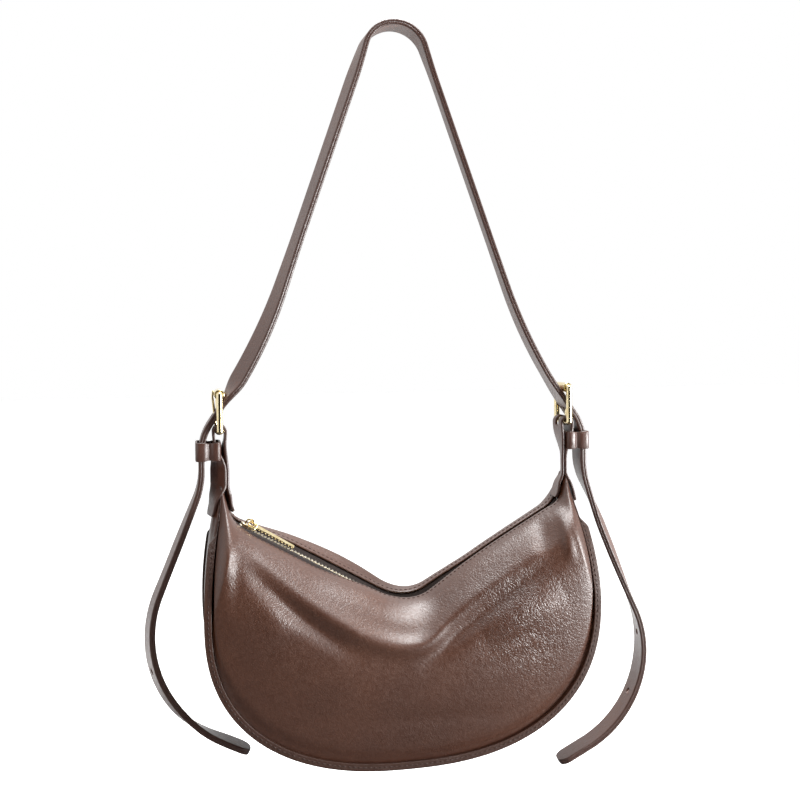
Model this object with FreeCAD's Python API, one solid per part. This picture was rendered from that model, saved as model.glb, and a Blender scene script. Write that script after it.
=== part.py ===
# Half moon shoulder bag. A soft crescent body with a zipped, sagging mouth hangs by two
# folded leather tabs from the pin buckles of one long adjustable two-ply strap.
# Frame: millimetres, +Z up, +X to the right seen from the front, the front panel faces -Y.
# Origin: the underside of the strap's crown, where a shoulder or a hook carries the bag.
import FreeCAD, Part
import math
import os
from FreeCAD import Vector

# Strap: one strip from tail tip to tail tip, bent over the crown
strap_width = 20.0
ply_thickness = 2.2
crown_radius = 25.0
leg_angle = math.radians(19.3)
bow_radius = 380.0
buckle_angle = math.radians(34.0)
buckle_run = 6.0
through_run = 12.0
settle_radius = 38.0
keeper_run = 12.0
lean_angle = math.radians(22.0)
lean_radius = 60.0
left_tail_run = 74.0
right_tail_run = 108.0
curl_radius = 85.0
curl_angle = math.radians(86.0)
tip_run = 26.0
tip_radius = 7.5
hole_diameter = 5.0
hole_first = 200.0
hole_pitch = 50.0
hole_count = 2
hole_sides = 6

# Buckles: two cheeks and two round bars, a roller on the top bar, a prong on the bottom bar
bar_diameter = 4.0
bar_spacing = 26.6
cheek_width = 4.6
cheek_land = 0.4
window_clearance = 1.0
roller_wall = 1.8
roller_fit = 0.05
roller_end_gap = 0.3
strap_gap = 0.4
prong_width = 2.8
prong_thickness = 2.0
prong_knuckle_wall = 1.5
prong_knuckle_width = 4.6
prong_fit = 0.08
prong_seat_gap = 0.15
prong_tip_rise = 3.2

# Tabs and keepers: leather strips at each buckle
tab_thickness = 2.0
tab_side_clearance = 0.5
tab_loop_radius = 3.4
tab_loop_gap = 0.3
tab_leg_gap = 0.3
tab_neck_drop = 32.0
tab_neck_run = 8.0
tab_hang = 51.5
tab_inner_lap = 11.0
tab_outer_lap = 13.0
tab_seat_gap = 0.5
tab_slot_clearance = 0.5
keeper_height = 14.0
keeper_wall = 1.5
keeper_clearance = 0.6
keeper_drop = 8.0
keeper_corner_radius = 2.0

# Bag body: seam outline, depth and bulge
seam_width = 286.0
buckle_inset = 8.0
seam_shoulder_height = 80.0
seam_bowl_depth = 110.6
seam_roundness = 2.4
body_depth = 80.0
ear_depth = 21.0
depth_taper_power = 1.5
panel_thickness = 1.8
panel_bulge = 10.0
panel_shoulder_power = 0.8
gusset_bulge = 4.0
gusset_lift = 2.0
welt_thickness = 4.2
welt_width = 6.0
welt_end_width = 2.4
welt_taper_run = 34.0
seam_gap = 0.1
lining_thickness = 0.8
lining_gap = 0.4

# Zip: a closed chain in the sagging mouth
zip_angle = math.radians(29.25)
zip_dip_radius = 45.0
zip_ear_radius = 22.0
zip_ear_angle = math.radians(75.0)
zip_ear_run = 6.0
zip_ear_inset = 1.5
hem_half_gap = 6.5
tape_thickness = 0.8
tape_lap = 4.0
tape_end_clearance = 6.0
hem_gap = 0.4
tooth_pitch = 2.8
tooth_length = 1.25
tooth_height = 2.6
tooth_root = 2.9
tooth_head = 0.9
tooth_head_height = 1.4
tooth_tape_gap = 0.05
stop_length = 2.6
stop_clearance = 0.4

# Slider and pull
slider_length = 12.0
slider_margin = 1.0
slider_plate = 1.3
slider_side_wall = 1.2
slider_play = 0.4
slider_tape_play = 0.4
slider_wedge_length = 3.0
slider_wedge_width = 2.2
bail_inner_radius = 2.6
bail_thickness = 1.2
bail_width = 2.2
bail_rise = 1.6
pull_length = 39.0
pull_thickness = 1.6
pull_width = 3.8
pull_tip_width = 3.0
pull_eye_width = 6.4
pull_eye_length = 7.6
pull_eye_bar = 0.9
pull_eye_reach = 4.6
pull_slot_clearance = 0.4
pull_chain_gap = 0.3

# Facets and stations of soft sheets, rows as shares, and one overrun for all cuts
hem_facets = (1, 3, 5, 3)
tab_loop_facets = 6
panel_row_shares = (0.0, 0.06, 0.25, 0.5, 0.75, 0.95, 1.0)
gusset_row_shares = (-1.0, -0.5, 0.0, 0.5, 1.0)
lining_skip = 3
fine_stations = 240
cut_overrun = 5.0
parallel_share = 1e-6

# Sizes that follow from the driving dimensions
strap_thickness = 2 * ply_thickness
bar_radius = bar_diameter / 2
roller_radius = bar_radius + roller_fit + roller_wall
window_width = strap_width + 2 * window_clearance
buckle_x = seam_width / 2 - buckle_inset
tab_width = strap_width - 2 * tab_side_clearance
UP = Vector(0, 0, 1)
BACK = Vector(0, 1, 0)


def walk(start, heading, moves):
    """Stations of a tangent chain of runs and arcs in a vertical plane.

    A heading is the angle from straight down, positive outward. A move is (length, turn) and
    adds two stations, its middle and its end. Each station is (across, up, heading).
    """
    across, up = start
    stations = [(across, up, heading)]
    for length, turn in moves:
        for part in (0.5, 1.0):
            end = heading + turn * part
            if turn:
                radius = length / turn
                dx = radius * (math.cos(heading) - math.cos(end))
                dz = radius * (math.sin(end) - math.sin(heading))
            else:
                dx = length * part * math.sin(heading)
                dz = length * part * math.cos(heading)
            stations.append((across + dx, up - dz, end))
        across, up, heading = stations[-1]
    return stations


def locate(start, heading, moves, distance):
    """Station at a distance along a chain of runs and arcs: (across, up, heading)."""
    across, up = start
    left = distance
    for length, turn in moves:
        part = min(left / length, 1.0)
        across, up, heading = walk((across, up), heading, [(length * part, turn * part)])[-1]
        left -= length * part
        if left <= 0:
            break
    return across, up, heading


def chain_spans(side, start, heading, moves):
    """Spans of a chain on one side: start, middle and end frames, and whether it bends."""
    frames = []
    for across, up, way in walk(start, heading, moves):
        frames.append((Vector(side * across, 0, up), Vector(side * math.cos(way), 0, math.sin(way))))
    return [(frames[2 * k], frames[2 * k + 1], frames[2 * k + 2], bool(moves[k][1]))
            for k in range(len(moves))]


def closed_solid(faces):
    """Solid bounded by the faces."""
    shell = Part.Shell(faces)
    shell.sewShape()
    solid = Part.Solid(Part.Shell(shell.Faces))
    if solid.Volume < 0:
        solid.reverse()
    return solid


def strip_solid(sections):
    """Solid through a row of alike four-cornered sections, in flat facets."""
    faces = []
    for before, after in zip(sections, sections[1:]):
        for k in range(len(before)):
            faces += quad_faces(before[k - 1], before[k], after[k], after[k - 1])
    for section in (sections[0], sections[-1]):
        faces += quad_faces(*section)
    return closed_solid(faces)


def band_solid(spans, low, high, near, far):
    """Strip along the spans of a chain, from low to high along its normals, near to far in Y."""
    edges = []
    for offset in (low, high):
        for start, middle, end, bends in spans:
            ends = [point + normal * offset for point, normal in (start, middle, end)]
            if bends:
                edges.append(Part.Arc(*ends).toShape())
            else:
                edges.append(Part.makeLine(ends[0], ends[2]))
    for point, normal in (spans[0][0], spans[-1][2]):
        edges.append(Part.makeLine(point + normal * low, point + normal * high))
    face = Part.Face(Part.Wire(Part.sortEdges(edges)[0]))
    face.translate(BACK * near)
    return face.extrude(BACK * (far - near))


def biarc(start, end):
    """Two tangent arcs between two stations (across, up, heading), as moves of a walk."""
    first = Vector(math.sin(start[2]), 0, -math.cos(start[2]))
    second = Vector(math.sin(end[2]), 0, -math.cos(end[2]))
    low = Vector(start[0], 0, start[1])
    high = Vector(end[0], 0, end[1])
    chord = high - low
    slack = 2 * (1 - first.dot(second))
    lean = chord.dot(first + second)
    if slack > parallel_share:
        reach = (math.sqrt(lean ** 2 + slack * chord.dot(chord)) - lean) / slack
    else:
        reach = chord.dot(chord) / (2 * lean)
    joint = (low + high + (first - second) * reach) * 0.5
    moves = []
    heading = start[2]
    for begin, finish in ((low, joint), (joint, high)):
        way = finish - begin
        half_turn = math.atan2(way.x, -way.z) - heading
        half_turn = math.atan2(math.sin(half_turn), math.cos(half_turn))
        if abs(half_turn) > parallel_share:
            moves.append((way.Length * half_turn / math.sin(half_turn), 2 * half_turn))
        else:
            moves.append((way.Length, 0))
        heading += 2 * half_turn
    return moves


def quad_faces(a, b, c, d):
    """Two triangles on four points in order."""
    return [Part.Face(Part.makePolygon([a, b, c, a])), Part.Face(Part.makePolygon([a, c, d, a]))]


def sheet_solid(outer, inner):
    """Solid sheet between two grids of points, in flat facets."""
    faces = []
    last_i = len(outer) - 1
    last_j = len(outer[0]) - 1
    for i in range(last_i):
        for j in range(last_j):
            for grid in (outer, inner):
                faces += quad_faces(grid[i][j], grid[i + 1][j], grid[i + 1][j + 1], grid[i][j + 1])
        for j in (0, last_j):
            faces += quad_faces(outer[i][j], outer[i + 1][j], inner[i + 1][j], inner[i][j])
    for j in range(last_j):
        for i in (0, last_i):
            faces += quad_faces(outer[i][j], outer[i][j + 1], inner[i][j + 1], inner[i][j])
    return closed_solid(faces)


def offset_grid(grid, distance):
    """The grid moved inward along its own normals."""
    last_i = len(grid) - 1
    last_j = len(grid[0]) - 1
    moved = []
    for i, row in enumerate(grid):
        line = []
        for j, point in enumerate(row):
            along = grid[min(i + 1, last_i)][j] - grid[max(i - 1, 0)][j]
            down = row[min(j + 1, last_j)] - row[max(j - 1, 0)]
            normal = along.cross(down)
            normal.normalize()
            line.append(point + normal * distance)
        moved.append(line)
    return moved


def mirrored(shape, normal):
    """Mirror image in the plane through the origin with that normal."""
    return shape.mirror(Vector(0, 0, 0), normal)


def polygon_prism(points, along):
    """Prism of a closed polygon."""
    return Part.Face(Part.makePolygon(points + [points[0]])).extrude(along)


def rounded_outline(half_a, half_b, radius, origin, axis_a, axis_b):
    """Wire of a rounded rectangle in the plane of two unit axes."""
    def at(a, b):
        return origin + axis_a * a + axis_b * b

    flat_a = half_a - radius
    flat_b = half_b - radius
    bend = radius * math.sqrt(0.5)
    corners = ((1, 1), (-1, 1), (-1, -1), (1, -1))
    edges = []
    for k, (sa, sb) in enumerate(corners):
        side = at(sa * half_a, sb * flat_b)
        middle = at(sa * (flat_a + bend), sb * (flat_b + bend))
        top = at(sa * flat_a, sb * half_b)
        ends = (side, top) if k % 2 == 0 else (top, side)
        edges.append(Part.Arc(ends[0], middle, ends[1]).toShape())
    joined = []
    for k, edge in enumerate(edges):
        following = edges[(k + 1) % len(edges)]
        joined.append(edge)
        joined.append(Part.makeLine(edge.Vertexes[-1].Point, following.Vertexes[0].Point))
    return Part.Wire(joined)


# The strap's path, one half at a time, outward and down from the crown
bow_turn = buckle_angle - leg_angle
crown_turn = leg_angle - math.pi / 2
crown_reach = crown_radius * math.cos(leg_angle)
bow_reach = bow_radius * (math.cos(leg_angle) - math.cos(buckle_angle))
run_reach = buckle_run * math.sin(buckle_angle)
leg_run = (buckle_x - crown_reach - bow_reach - run_reach) / math.sin(leg_angle)
crown = (0.0, strap_thickness / 2)
upper_moves = [(-crown_radius * crown_turn, crown_turn),
               (leg_run, 0),
               (bow_radius * bow_turn, bow_turn),
               (buckle_run, 0)]


def lower_moves(tail_run):
    """From the buckle through the keeper and down the tail."""
    return [(through_run, 0),
            (settle_radius * buckle_angle, -buckle_angle),
            (keeper_run, 0),
            (lean_radius * lean_angle, lean_angle),
            (tail_run, 0),
            (curl_radius * curl_angle, -curl_angle),
            (tip_run, 0)]


buckle_z = walk(crown, math.pi / 2, upper_moves)[-1][1]
top_bar_z = buckle_z + (strap_thickness / 2 + strap_gap + roller_radius) / math.sin(buckle_angle)
bottom_bar_z = top_bar_z - bar_spacing
ear_z = bottom_bar_z - tab_hang


def strap_ply(low, high):
    """One ply of the strap, tip to tip, with rounded tips."""
    left = chain_spans(-1, crown, math.pi / 2, upper_moves + lower_moves(left_tail_run))
    right = chain_spans(1, crown, math.pi / 2, upper_moves + lower_moves(right_tail_run))
    spans = [(end, middle, start, bends) for start, middle, end, bends in reversed(left)] + right
    half = strap_width / 2
    ply = band_solid(spans, low, high, -half, half)
    corners = []
    for point, normal in (spans[0][0], spans[-1][2]):
        middle = point + normal * ((low + high) / 2)
        corners += [middle + BACK * half, middle - BACK * half]
    edges = [edge for edge in ply.Edges
             if min((edge.CenterOfMass - corner).Length for corner in corners) < ply_thickness / 4]
    return ply.makeFillet(tip_radius, edges)


def prong_line(side):
    """Foot and head of the prong's straight shank."""
    foot_out = bar_radius + prong_fit
    head_out = roller_radius + prong_seat_gap + prong_thickness / 2
    foot = Vector(side * (buckle_x + foot_out), 0, bottom_bar_z)
    head = Vector(side * (buckle_x + head_out), 0, top_bar_z)
    return foot, head


def punch(start, along):
    """Many-sided punch from a start point, as long as the vector along it."""
    across = along.cross(BACK).normalize()
    corners = []
    for k in range(hole_sides):
        angle = 2 * math.pi * (k + 0.5) / hole_sides
        corners.append(start + (across * math.cos(angle) + BACK * math.sin(angle)) * (hole_diameter / 2))
    return polygon_prism(corners, along)


def strap_holes(side, tail_run):
    """Drills for the prong's hole and the adjusting holes of one tail."""
    foot, head = prong_line(side)
    drills = [punch(foot, head - foot)]
    depth = strap_thickness + cut_overrun
    for k in range(hole_count):
        across, up, heading = locate((buckle_x, buckle_z), buckle_angle, lower_moves(tail_run),
                                     hole_first + k * hole_pitch)
        normal = Vector(side * math.cos(heading), 0, math.sin(heading))
        start = Vector(side * across, 0, up) - normal * (depth / 2)
        drills.append(punch(start, normal * depth))
    return drills


def buckle_frame(side):
    """Two upright cheeks with round ends, joined by a round top bar and a round bottom bar."""
    bars = []
    for height in (top_bar_z, bottom_bar_z):
        start = Vector(side * buckle_x, -window_width / 2, height)
        bars.append(Part.makeCylinder(bar_radius, window_width, start, BACK))
    half = cheek_width / 2
    for start_y in (-window_width / 2 - cheek_width, window_width / 2):
        centre = Vector(side * buckle_x, start_y, (top_bar_z + bottom_bar_z) / 2)
        outline = rounded_outline(half, bar_spacing / 2 + half, half - cheek_land / 2,
                                  centre, Vector(1, 0, 0), UP)
        bars.append(Part.Face(outline).extrude(BACK * cheek_width))
    return bars[0].fuse(bars[1:]).removeSplitter()


def roller(side):
    """Tube that turns on the top bar."""
    length = window_width - 2 * roller_end_gap
    start = Vector(side * buckle_x, -length / 2, top_bar_z)
    tube = Part.makeCylinder(roller_radius, length, start, BACK)
    return tube.cut(Part.makeCylinder(bar_radius + roller_fit, length, start, BACK))


def prong(side):
    """Pin with a knuckle round the bottom bar, through the strap, resting on the roller."""
    foot, head = prong_line(side)
    pivot = Vector(side * buckle_x, -prong_knuckle_width / 2, bottom_bar_z)
    outer = bar_radius + prong_fit + prong_knuckle_wall
    along = (head - foot).normalize()
    across = along.cross(BACK)
    half = prong_thickness / 2
    tip = head + along * prong_tip_rise
    outline = [foot - across * half, tip - across * half, tip + along * half - across * (half / 2),
               tip + along * half + across * (half / 2), tip + across * half, foot + across * half]
    left = BACK * (-prong_width / 2)
    shank = polygon_prism([corner + left for corner in outline], BACK * prong_width)
    knuckle = Part.makeCylinder(outer, prong_knuckle_width, pivot, BACK)
    bore = Part.makeCylinder(bar_radius + prong_fit, prong_knuckle_width, pivot, BACK)
    return knuckle.fuse(shank).cut(bore).removeSplitter()


# The zip's path, one half at a time, from the ear inward and down to the dip
ear_x = buckle_x - zip_ear_inset
zip_ear_turn = zip_ear_angle - zip_angle
zip_ear_reach = zip_ear_radius * (math.sin(zip_ear_angle) - math.sin(zip_angle))
zip_end_reach = zip_ear_run * math.cos(zip_ear_angle)
zip_dip_reach = zip_dip_radius * math.sin(zip_angle)
zip_run = (ear_x - zip_ear_reach - zip_end_reach - zip_dip_reach) / math.cos(zip_angle)
zip_start = (ear_x, ear_z)
zip_heading = zip_ear_angle - math.pi / 2
zip_moves = [(zip_ear_run, 0),
             (zip_ear_radius * zip_ear_turn, -zip_ear_turn),
             (zip_run, 0),
             (zip_dip_radius * zip_angle, -zip_angle)]
zip_half = sum(move[0] for move in zip_moves)
zip_straight = zip_ear_run + zip_ear_radius * zip_ear_turn
hem_lift = tape_thickness / 2 + hem_gap
hem_top = hem_lift + panel_thickness


def zip_at(distance):
    """Point, direction and upward normal of the zip at a distance from its left end."""
    side = -1 if distance <= zip_half else 1
    from_ear = min(distance, 2 * zip_half - distance)
    across, up, heading = locate(zip_start, zip_heading, zip_moves, from_ear)
    point = Vector(side * across, 0, up)
    way = Vector(-math.sin(heading), 0, side * math.cos(heading))
    normal = Vector(-side * math.cos(heading), 0, -math.sin(heading))
    return point, way, normal


# The seam's outline, one half, from the bottom's middle up to the ear
seam_half = seam_width / 2
belly_z = ear_z - seam_shoulder_height


def seam_half_points():
    """Super-ellipse bowl below the widest line and a drawn-in shoulder above it."""
    points = []
    for k in range(fine_stations + 1):
        angle = math.pi / 2 * k / fine_stations
        across = seam_half * math.sin(angle) ** (2 / seam_roundness)
        down = seam_bowl_depth * max(0.0, math.cos(angle)) ** (2 / seam_roundness)
        points.append(Vector(across, 0, belly_z - down))
    for k in range(1, fine_stations + 1):
        rise = k / fine_stations
        points.append(Vector(seam_half - (seam_half - ear_x) * rise ** 2, 0,
                             belly_z + seam_shoulder_height * rise))
    return points


seam_points = seam_half_points()
seam_lengths = [0.0]
for before, after in zip(seam_points, seam_points[1:]):
    seam_lengths.append(seam_lengths[-1] + (after - before).Length)
seam_half_length = seam_lengths[-1]


def seam_at(share):
    """Point and outward normal of the seam, from -1 at the left ear to 1 at the right."""
    side = -1 if share < 0 else 1
    target = abs(share) * seam_half_length
    k = 0
    while k < len(seam_lengths) - 2 and seam_lengths[k + 1] < target:
        k += 1
    part = (target - seam_lengths[k]) / (seam_lengths[k + 1] - seam_lengths[k])
    point = seam_points[k] * (1 - part) + seam_points[k + 1] * part
    way = seam_points[min(k + 2, len(seam_points) - 1)] - seam_points[max(k - 1, 0)]
    if k == 0:
        way = Vector(1, 0, 0)
    way.normalize()
    return Vector(side * point.x, 0, point.z), Vector(side * way.z, 0, -way.x)


def half_depth(up):
    """Half of the body's depth at the seam, drawn in towards the ears."""
    rise = max(0.0, (up - belly_z) / seam_shoulder_height)
    return body_depth / 2 - (body_depth - ear_depth) / 2 * rise ** depth_taper_power


def hem_stations():
    """Shares along the hem from -1 to 1, closer together where the zip bends."""
    shares = []
    walked = 0.0
    for (length, turn), count in zip(zip_moves, hem_facets):
        for k in range(count):
            shares.append((walked + length * k / count) / zip_half - 1)
        walked += length
    return shares + [0.0] + [-share for share in reversed(shares)]


def seam_stations():
    """Evenly spaced shares along the seam from -1 to 1, as many as along the hem."""
    last = 2 * sum(hem_facets)
    return [2 * k / last - 1 for k in range(last + 1)]


def panel_grid():
    """Outer face of the front panel: a shoulder from the hem, a belly, then the seam."""
    grid = []
    for hem_share, seam_share in zip(hem_stations(), seam_stations()):
        hem, way, normal = zip_at(zip_half * (1 + hem_share))
        hem = hem + normal * hem_top - BACK * hem_half_gap
        seam, outward = seam_at(seam_share)
        seam = seam - outward * seam_gap
        seam = seam - BACK * (half_depth(seam.z) + seam_gap + panel_thickness)
        belly = panel_bulge * (1 - abs(seam_share) ** 3)
        line = []
        for row in panel_row_shares:
            angle = math.pi / 2 * row
            forward = math.sin(angle) ** panel_shoulder_power
            down = 1 - max(0.0, math.cos(angle)) ** panel_shoulder_power
            point = hem + (seam - hem) * down
            point.y = hem.y + (seam.y - hem.y) * forward - belly * math.sin(math.pi * row)
            line.append(point)
        grid.append(line)
    return grid


def gusset_grid():
    """Outer face of the gusset: a strip between the two seams that bows outward."""
    grid = []
    for share in seam_stations():
        seam, outward = seam_at(share)
        half = half_depth(seam.z) - welt_thickness / 2 - seam_gap
        line = []
        for row in gusset_row_shares:
            bow = gusset_lift + gusset_bulge * (1 - row ** 2)
            line.append(seam + outward * bow + BACK * (row * half))
        grid.append(line)
    return grid


def front_panel():
    """Front panel, from the zip's hem over the belly to the seam."""
    grid = panel_grid()
    return sheet_solid(grid, offset_grid(grid, panel_thickness))


def gusset():
    """Gusset from ear to ear, under the bag."""
    grid = gusset_grid()
    return sheet_solid(grid, offset_grid(grid, panel_thickness))


def front_welt():
    """Raised seam edge between the front panel and the gusset, thinner at the ears."""
    sections = []
    for share in seam_stations():
        seam, outward = seam_at(share)
        from_end = (1 - abs(share)) * seam_half_length
        full = min(1.0, from_end / welt_taper_run)
        reach = welt_end_width + (welt_width - welt_end_width) * full * (2 - full)
        depth = half_depth(seam.z)
        near = BACK * (welt_thickness / 2 - depth)
        far = BACK * (-welt_thickness / 2 - depth)
        sections.append([seam + near, seam + outward * reach + near,
                         seam + outward * reach + far, seam + far])
    return strip_solid(sections)


def lining(grid, skip_rows):
    """Cloth inside a leather sheet, short of its ends and, by some rows, of its edges."""
    outer = panel_thickness + lining_gap
    last_row = len(grid[0]) - skip_rows
    faces = []
    for depth in (outer, outer + lining_thickness):
        lines = offset_grid(grid, depth)[lining_skip:-lining_skip]
        faces.append([line[skip_rows:last_row] for line in lines])
    return sheet_solid(*faces)


def front_tape():
    """Woven tape from the teeth to under the front panel's hem."""
    skipped = zip_ear_run + tape_end_clearance
    bend = zip_ear_radius * zip_ear_turn
    left_bend = 1 - tape_end_clearance / bend
    start = locate(zip_start, zip_heading, zip_moves, skipped)
    moves = [(bend * left_bend, -zip_ear_turn * left_bend)] + zip_moves[2:]
    left = chain_spans(-1, start[:2], start[2], moves)
    right = chain_spans(1, start[:2], start[2], moves)
    spans = left + [(end, middle, first, bends) for first, middle, end, bends in reversed(right)]
    half = tape_thickness / 2
    return band_solid(spans, -half, half, -hem_half_gap - tape_lap, -tooth_root - tooth_tape_gap)


slider_centre = zip_straight + slider_length / 2 + slider_margin
chain_start = slider_centre - slider_length / 2 + slider_wedge_length + stop_clearance
chain_end = 2 * zip_half - zip_straight


def zip_teeth(side, offset):
    """One row of teeth, each a block that narrows to its interlocking head."""
    outline = [(-tooth_head, tooth_head_height / 2), (tooth_root, tooth_height / 2),
               (tooth_root, -tooth_height / 2), (-tooth_head, -tooth_head_height / 2)]
    teeth = []
    count = int((chain_end - chain_start - offset - tooth_length) / tooth_pitch) + 1
    for k in range(count):
        middle = chain_start + offset + tooth_length / 2 + k * tooth_pitch
        point, way, normal = zip_at(middle)
        start = point - way * (tooth_length / 2)
        corners = [start + BACK * (side * out) + normal * rise for out, rise in outline]
        teeth.append(polygon_prism(corners, way * tooth_length))
    return Part.makeCompound(teeth)


def zip_block(distance, low, high, half_height):
    """Block across the zip between two offsets along its width."""
    point, way, normal = zip_at(distance)
    start = point - way * (stop_length / 2) - normal * half_height
    corners = [start + BACK * low, start + BACK * high,
               start + BACK * high + normal * (2 * half_height),
               start + BACK * low + normal * (2 * half_height)]
    return polygon_prism(corners, way * stop_length)


def zip_top_stops():
    """One clamped stop at the end of each row, beside the slider."""
    distance = zip_straight - stop_length / 2 - stop_clearance
    inner = tooth_root - stop_length
    outer = tooth_root
    half = tooth_height / 2
    return Part.makeCompound([zip_block(distance, -outer, -inner, half),
                              zip_block(distance, inner, outer, half)])


def zip_bottom_stop():
    """One clamp that holds both rows together at the closed end."""
    distance = chain_end + stop_length / 2 + stop_clearance
    return zip_block(distance, -tooth_root, tooth_root, tooth_height / 2)


def slider_axes():
    """Centre of the slider, direction along the zip and upward normal."""
    return zip_at(slider_centre)


channel_half_height = tooth_height / 2 + slider_play
plate_top = channel_half_height + slider_plate
channel_half_width = tooth_root + slider_play
slider_half_width = channel_half_width + slider_side_wall
pull_axis_height = plate_top + bail_rise


def zip_slider():
    """Two plates with side lips round the chain, a wedge between the rows, and a bail."""
    centre, way, normal = slider_axes()

    def at(along, out, rise):
        return centre + way * along + BACK * out + normal * rise

    half = slider_length / 2
    nose = half - slider_wedge_length
    plan = [(-half, channel_half_width), (-nose, slider_half_width),
            (half, channel_half_width + slider_side_wall / 2)]
    plan += [(along, -out) for along, out in reversed(plan)]
    body = polygon_prism([at(a, o, -plate_top) for a, o in plan], normal * (2 * plate_top))
    reach = half + cut_overrun

    def tunnel(half_wide, half_high):
        corners = [at(-reach, -half_wide, -half_high), at(-reach, half_wide, -half_high),
                   at(-reach, half_wide, half_high), at(-reach, -half_wide, half_high)]
        return polygon_prism(corners, way * (2 * reach))

    slot_half = tape_thickness / 2 + slider_tape_play
    body = body.cut(tunnel(channel_half_width, channel_half_height))
    body = body.cut(tunnel(slider_half_width + cut_overrun, slot_half))
    wedge_plan = [(-half, 0), (-nose - slider_wedge_length / 2, slider_wedge_width / 2),
                  (-nose, 0), (-nose - slider_wedge_length / 2, -slider_wedge_width / 2)]
    wedge = polygon_prism([at(a, o, -plate_top) for a, o in wedge_plan], normal * (2 * plate_top))
    outer = bail_inner_radius + bail_thickness
    left = -bail_width / 2
    rise = pull_axis_height
    outline = [Part.makeLine(at(-outer, left, plate_top), at(-outer, left, rise)),
               Part.Arc(at(-outer, left, rise), at(0, left, rise + outer),
                        at(outer, left, rise)).toShape(),
               Part.makeLine(at(outer, left, rise), at(outer, left, plate_top)),
               Part.makeLine(at(outer, left, plate_top), at(bail_inner_radius, left, plate_top)),
               Part.makeLine(at(bail_inner_radius, left, plate_top),
                             at(bail_inner_radius, left, rise)),
               Part.Arc(at(bail_inner_radius, left, rise), at(0, left, rise + bail_inner_radius),
                        at(-bail_inner_radius, left, rise)).toShape(),
               Part.makeLine(at(-bail_inner_radius, left, rise),
                             at(-bail_inner_radius, left, plate_top)),
               Part.makeLine(at(-bail_inner_radius, left, plate_top), at(-outer, left, plate_top))]
    bail = Part.Face(Part.Wire(outline)).extrude(BACK * bail_width)
    return body.fuse([wedge, bail]).removeSplitter()


def zip_pull():
    """Flat pull: an eye whose end bar lies under the bail, then a tapering bar."""
    centre, way, normal = slider_axes()
    pivot = centre + normal * pull_axis_height
    rest_height = tooth_height / 2 + pull_chain_gap + pull_thickness / 2
    droop = math.asin((pull_axis_height - rest_height) / pull_length)
    along_way = way * math.cos(droop) - normal * math.sin(droop)
    face_way = normal * math.cos(droop) + way * math.sin(droop)

    def at(along, out):
        return pivot + along_way * along + BACK * out - face_way * (pull_thickness / 2)

    eye = pull_eye_width / 2
    waist = pull_width / 2
    tip = pull_tip_width / 2
    back = -pull_eye_bar
    corner = eye - waist
    plan = [(back, eye - corner), (back + corner, eye), (pull_eye_length - corner, eye),
            (pull_eye_length, waist), (pull_length - tip, tip)]
    edges = [Part.makePolygon([at(a, o) for a, o in plan]),
             Part.Arc(at(pull_length - tip, tip), at(pull_length, 0),
                      at(pull_length - tip, -tip)).toShape(),
             Part.makePolygon([at(a, -o) for a, o in reversed(plan)]),
             Part.makeLine(at(back, corner - eye), at(back, eye - corner))]
    plate = Part.Face(Part.Wire([e for item in edges for e in item.Edges]))
    plate = plate.extrude(face_way * pull_thickness)
    slot = bail_width / 2 + pull_slot_clearance
    hole = [at(pull_eye_bar, slot), at(pull_eye_reach, slot),
            at(pull_eye_reach, -slot), at(pull_eye_bar, -slot)]
    return plate.cut(polygon_prism(hole, face_way * pull_thickness))


def tab_stations():
    """Stations of the tab's middle line, right side: inner leg, loop over the bar, outer leg."""
    middle = tab_loop_radius + tab_thickness / 2
    loop_z = bottom_bar_z + bar_radius + tab_loop_gap - tab_loop_radius
    neck = (tab_thickness + tab_leg_gap) / 2
    neck_z = bottom_bar_z - tab_neck_drop
    lift = tab_seat_gap + tab_thickness / 2
    inner = []
    for lap in (tab_inner_lap, 0):
        point, way, normal = zip_at(2 * zip_half - lap)
        point = point + normal * (hem_top + lift)
        inner.append((point.x, point.z, math.atan2(way.x, -way.z)))
    outer = []
    for lap in (0, tab_outer_lap):
        point, outward = seam_at(1 - lap / seam_half_length)
        point = point + outward * (gusset_lift + gusset_bulge + lift)
        outer.append((point.x, point.z, math.atan2(outward.z, outward.x)))
    up = math.pi
    inner += [(buckle_x - neck, neck_z - tab_neck_run, up), (buckle_x - neck, neck_z, up),
              (buckle_x - middle, loop_z, up)]
    outer = [(buckle_x + middle, loop_z, 0), (buckle_x + neck, neck_z, 0),
             (buckle_x + neck, neck_z - tab_neck_run, 0)] + outer
    return inner, outer


def right_tab():
    """Leather strip folded over the bottom bar, slotted for the prong, astride the ear."""
    inner, outer = tab_stations()
    moves = []
    for start, end in zip(inner, inner[1:]):
        moves += biarc(start, end)
    loop_turn = -math.pi / tab_loop_facets
    moves += [(-loop_turn * (tab_loop_radius + tab_thickness / 2), loop_turn)] * tab_loop_facets
    for start, end in zip(outer, outer[1:]):
        moves += biarc(start, end)
    edge = BACK * (tab_width / 2)
    sections = []
    for across, up, heading in walk(inner[0][:2], inner[0][2], moves):
        middle = Vector(across, 0, up)
        face = Vector(math.cos(heading), 0, math.sin(heading)) * (tab_thickness / 2)
        sections.append([middle + face - edge, middle + face + edge,
                         middle - face + edge, middle - face - edge])
    strip = strip_solid(sections)
    knuckle = bar_radius + prong_fit + prong_knuckle_wall + tab_slot_clearance
    wide = prong_knuckle_width / 2 + tab_slot_clearance
    reach = tab_loop_radius + tab_thickness + cut_overrun
    corners = [Vector(buckle_x + sx * reach, -wide, bottom_bar_z + rise)
               for sx, rise in ((-1, -knuckle), (1, -knuckle), (1, reach), (-1, reach))]
    return strip.cut(polygon_prism(corners, BACK * (2 * wide)))


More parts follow.
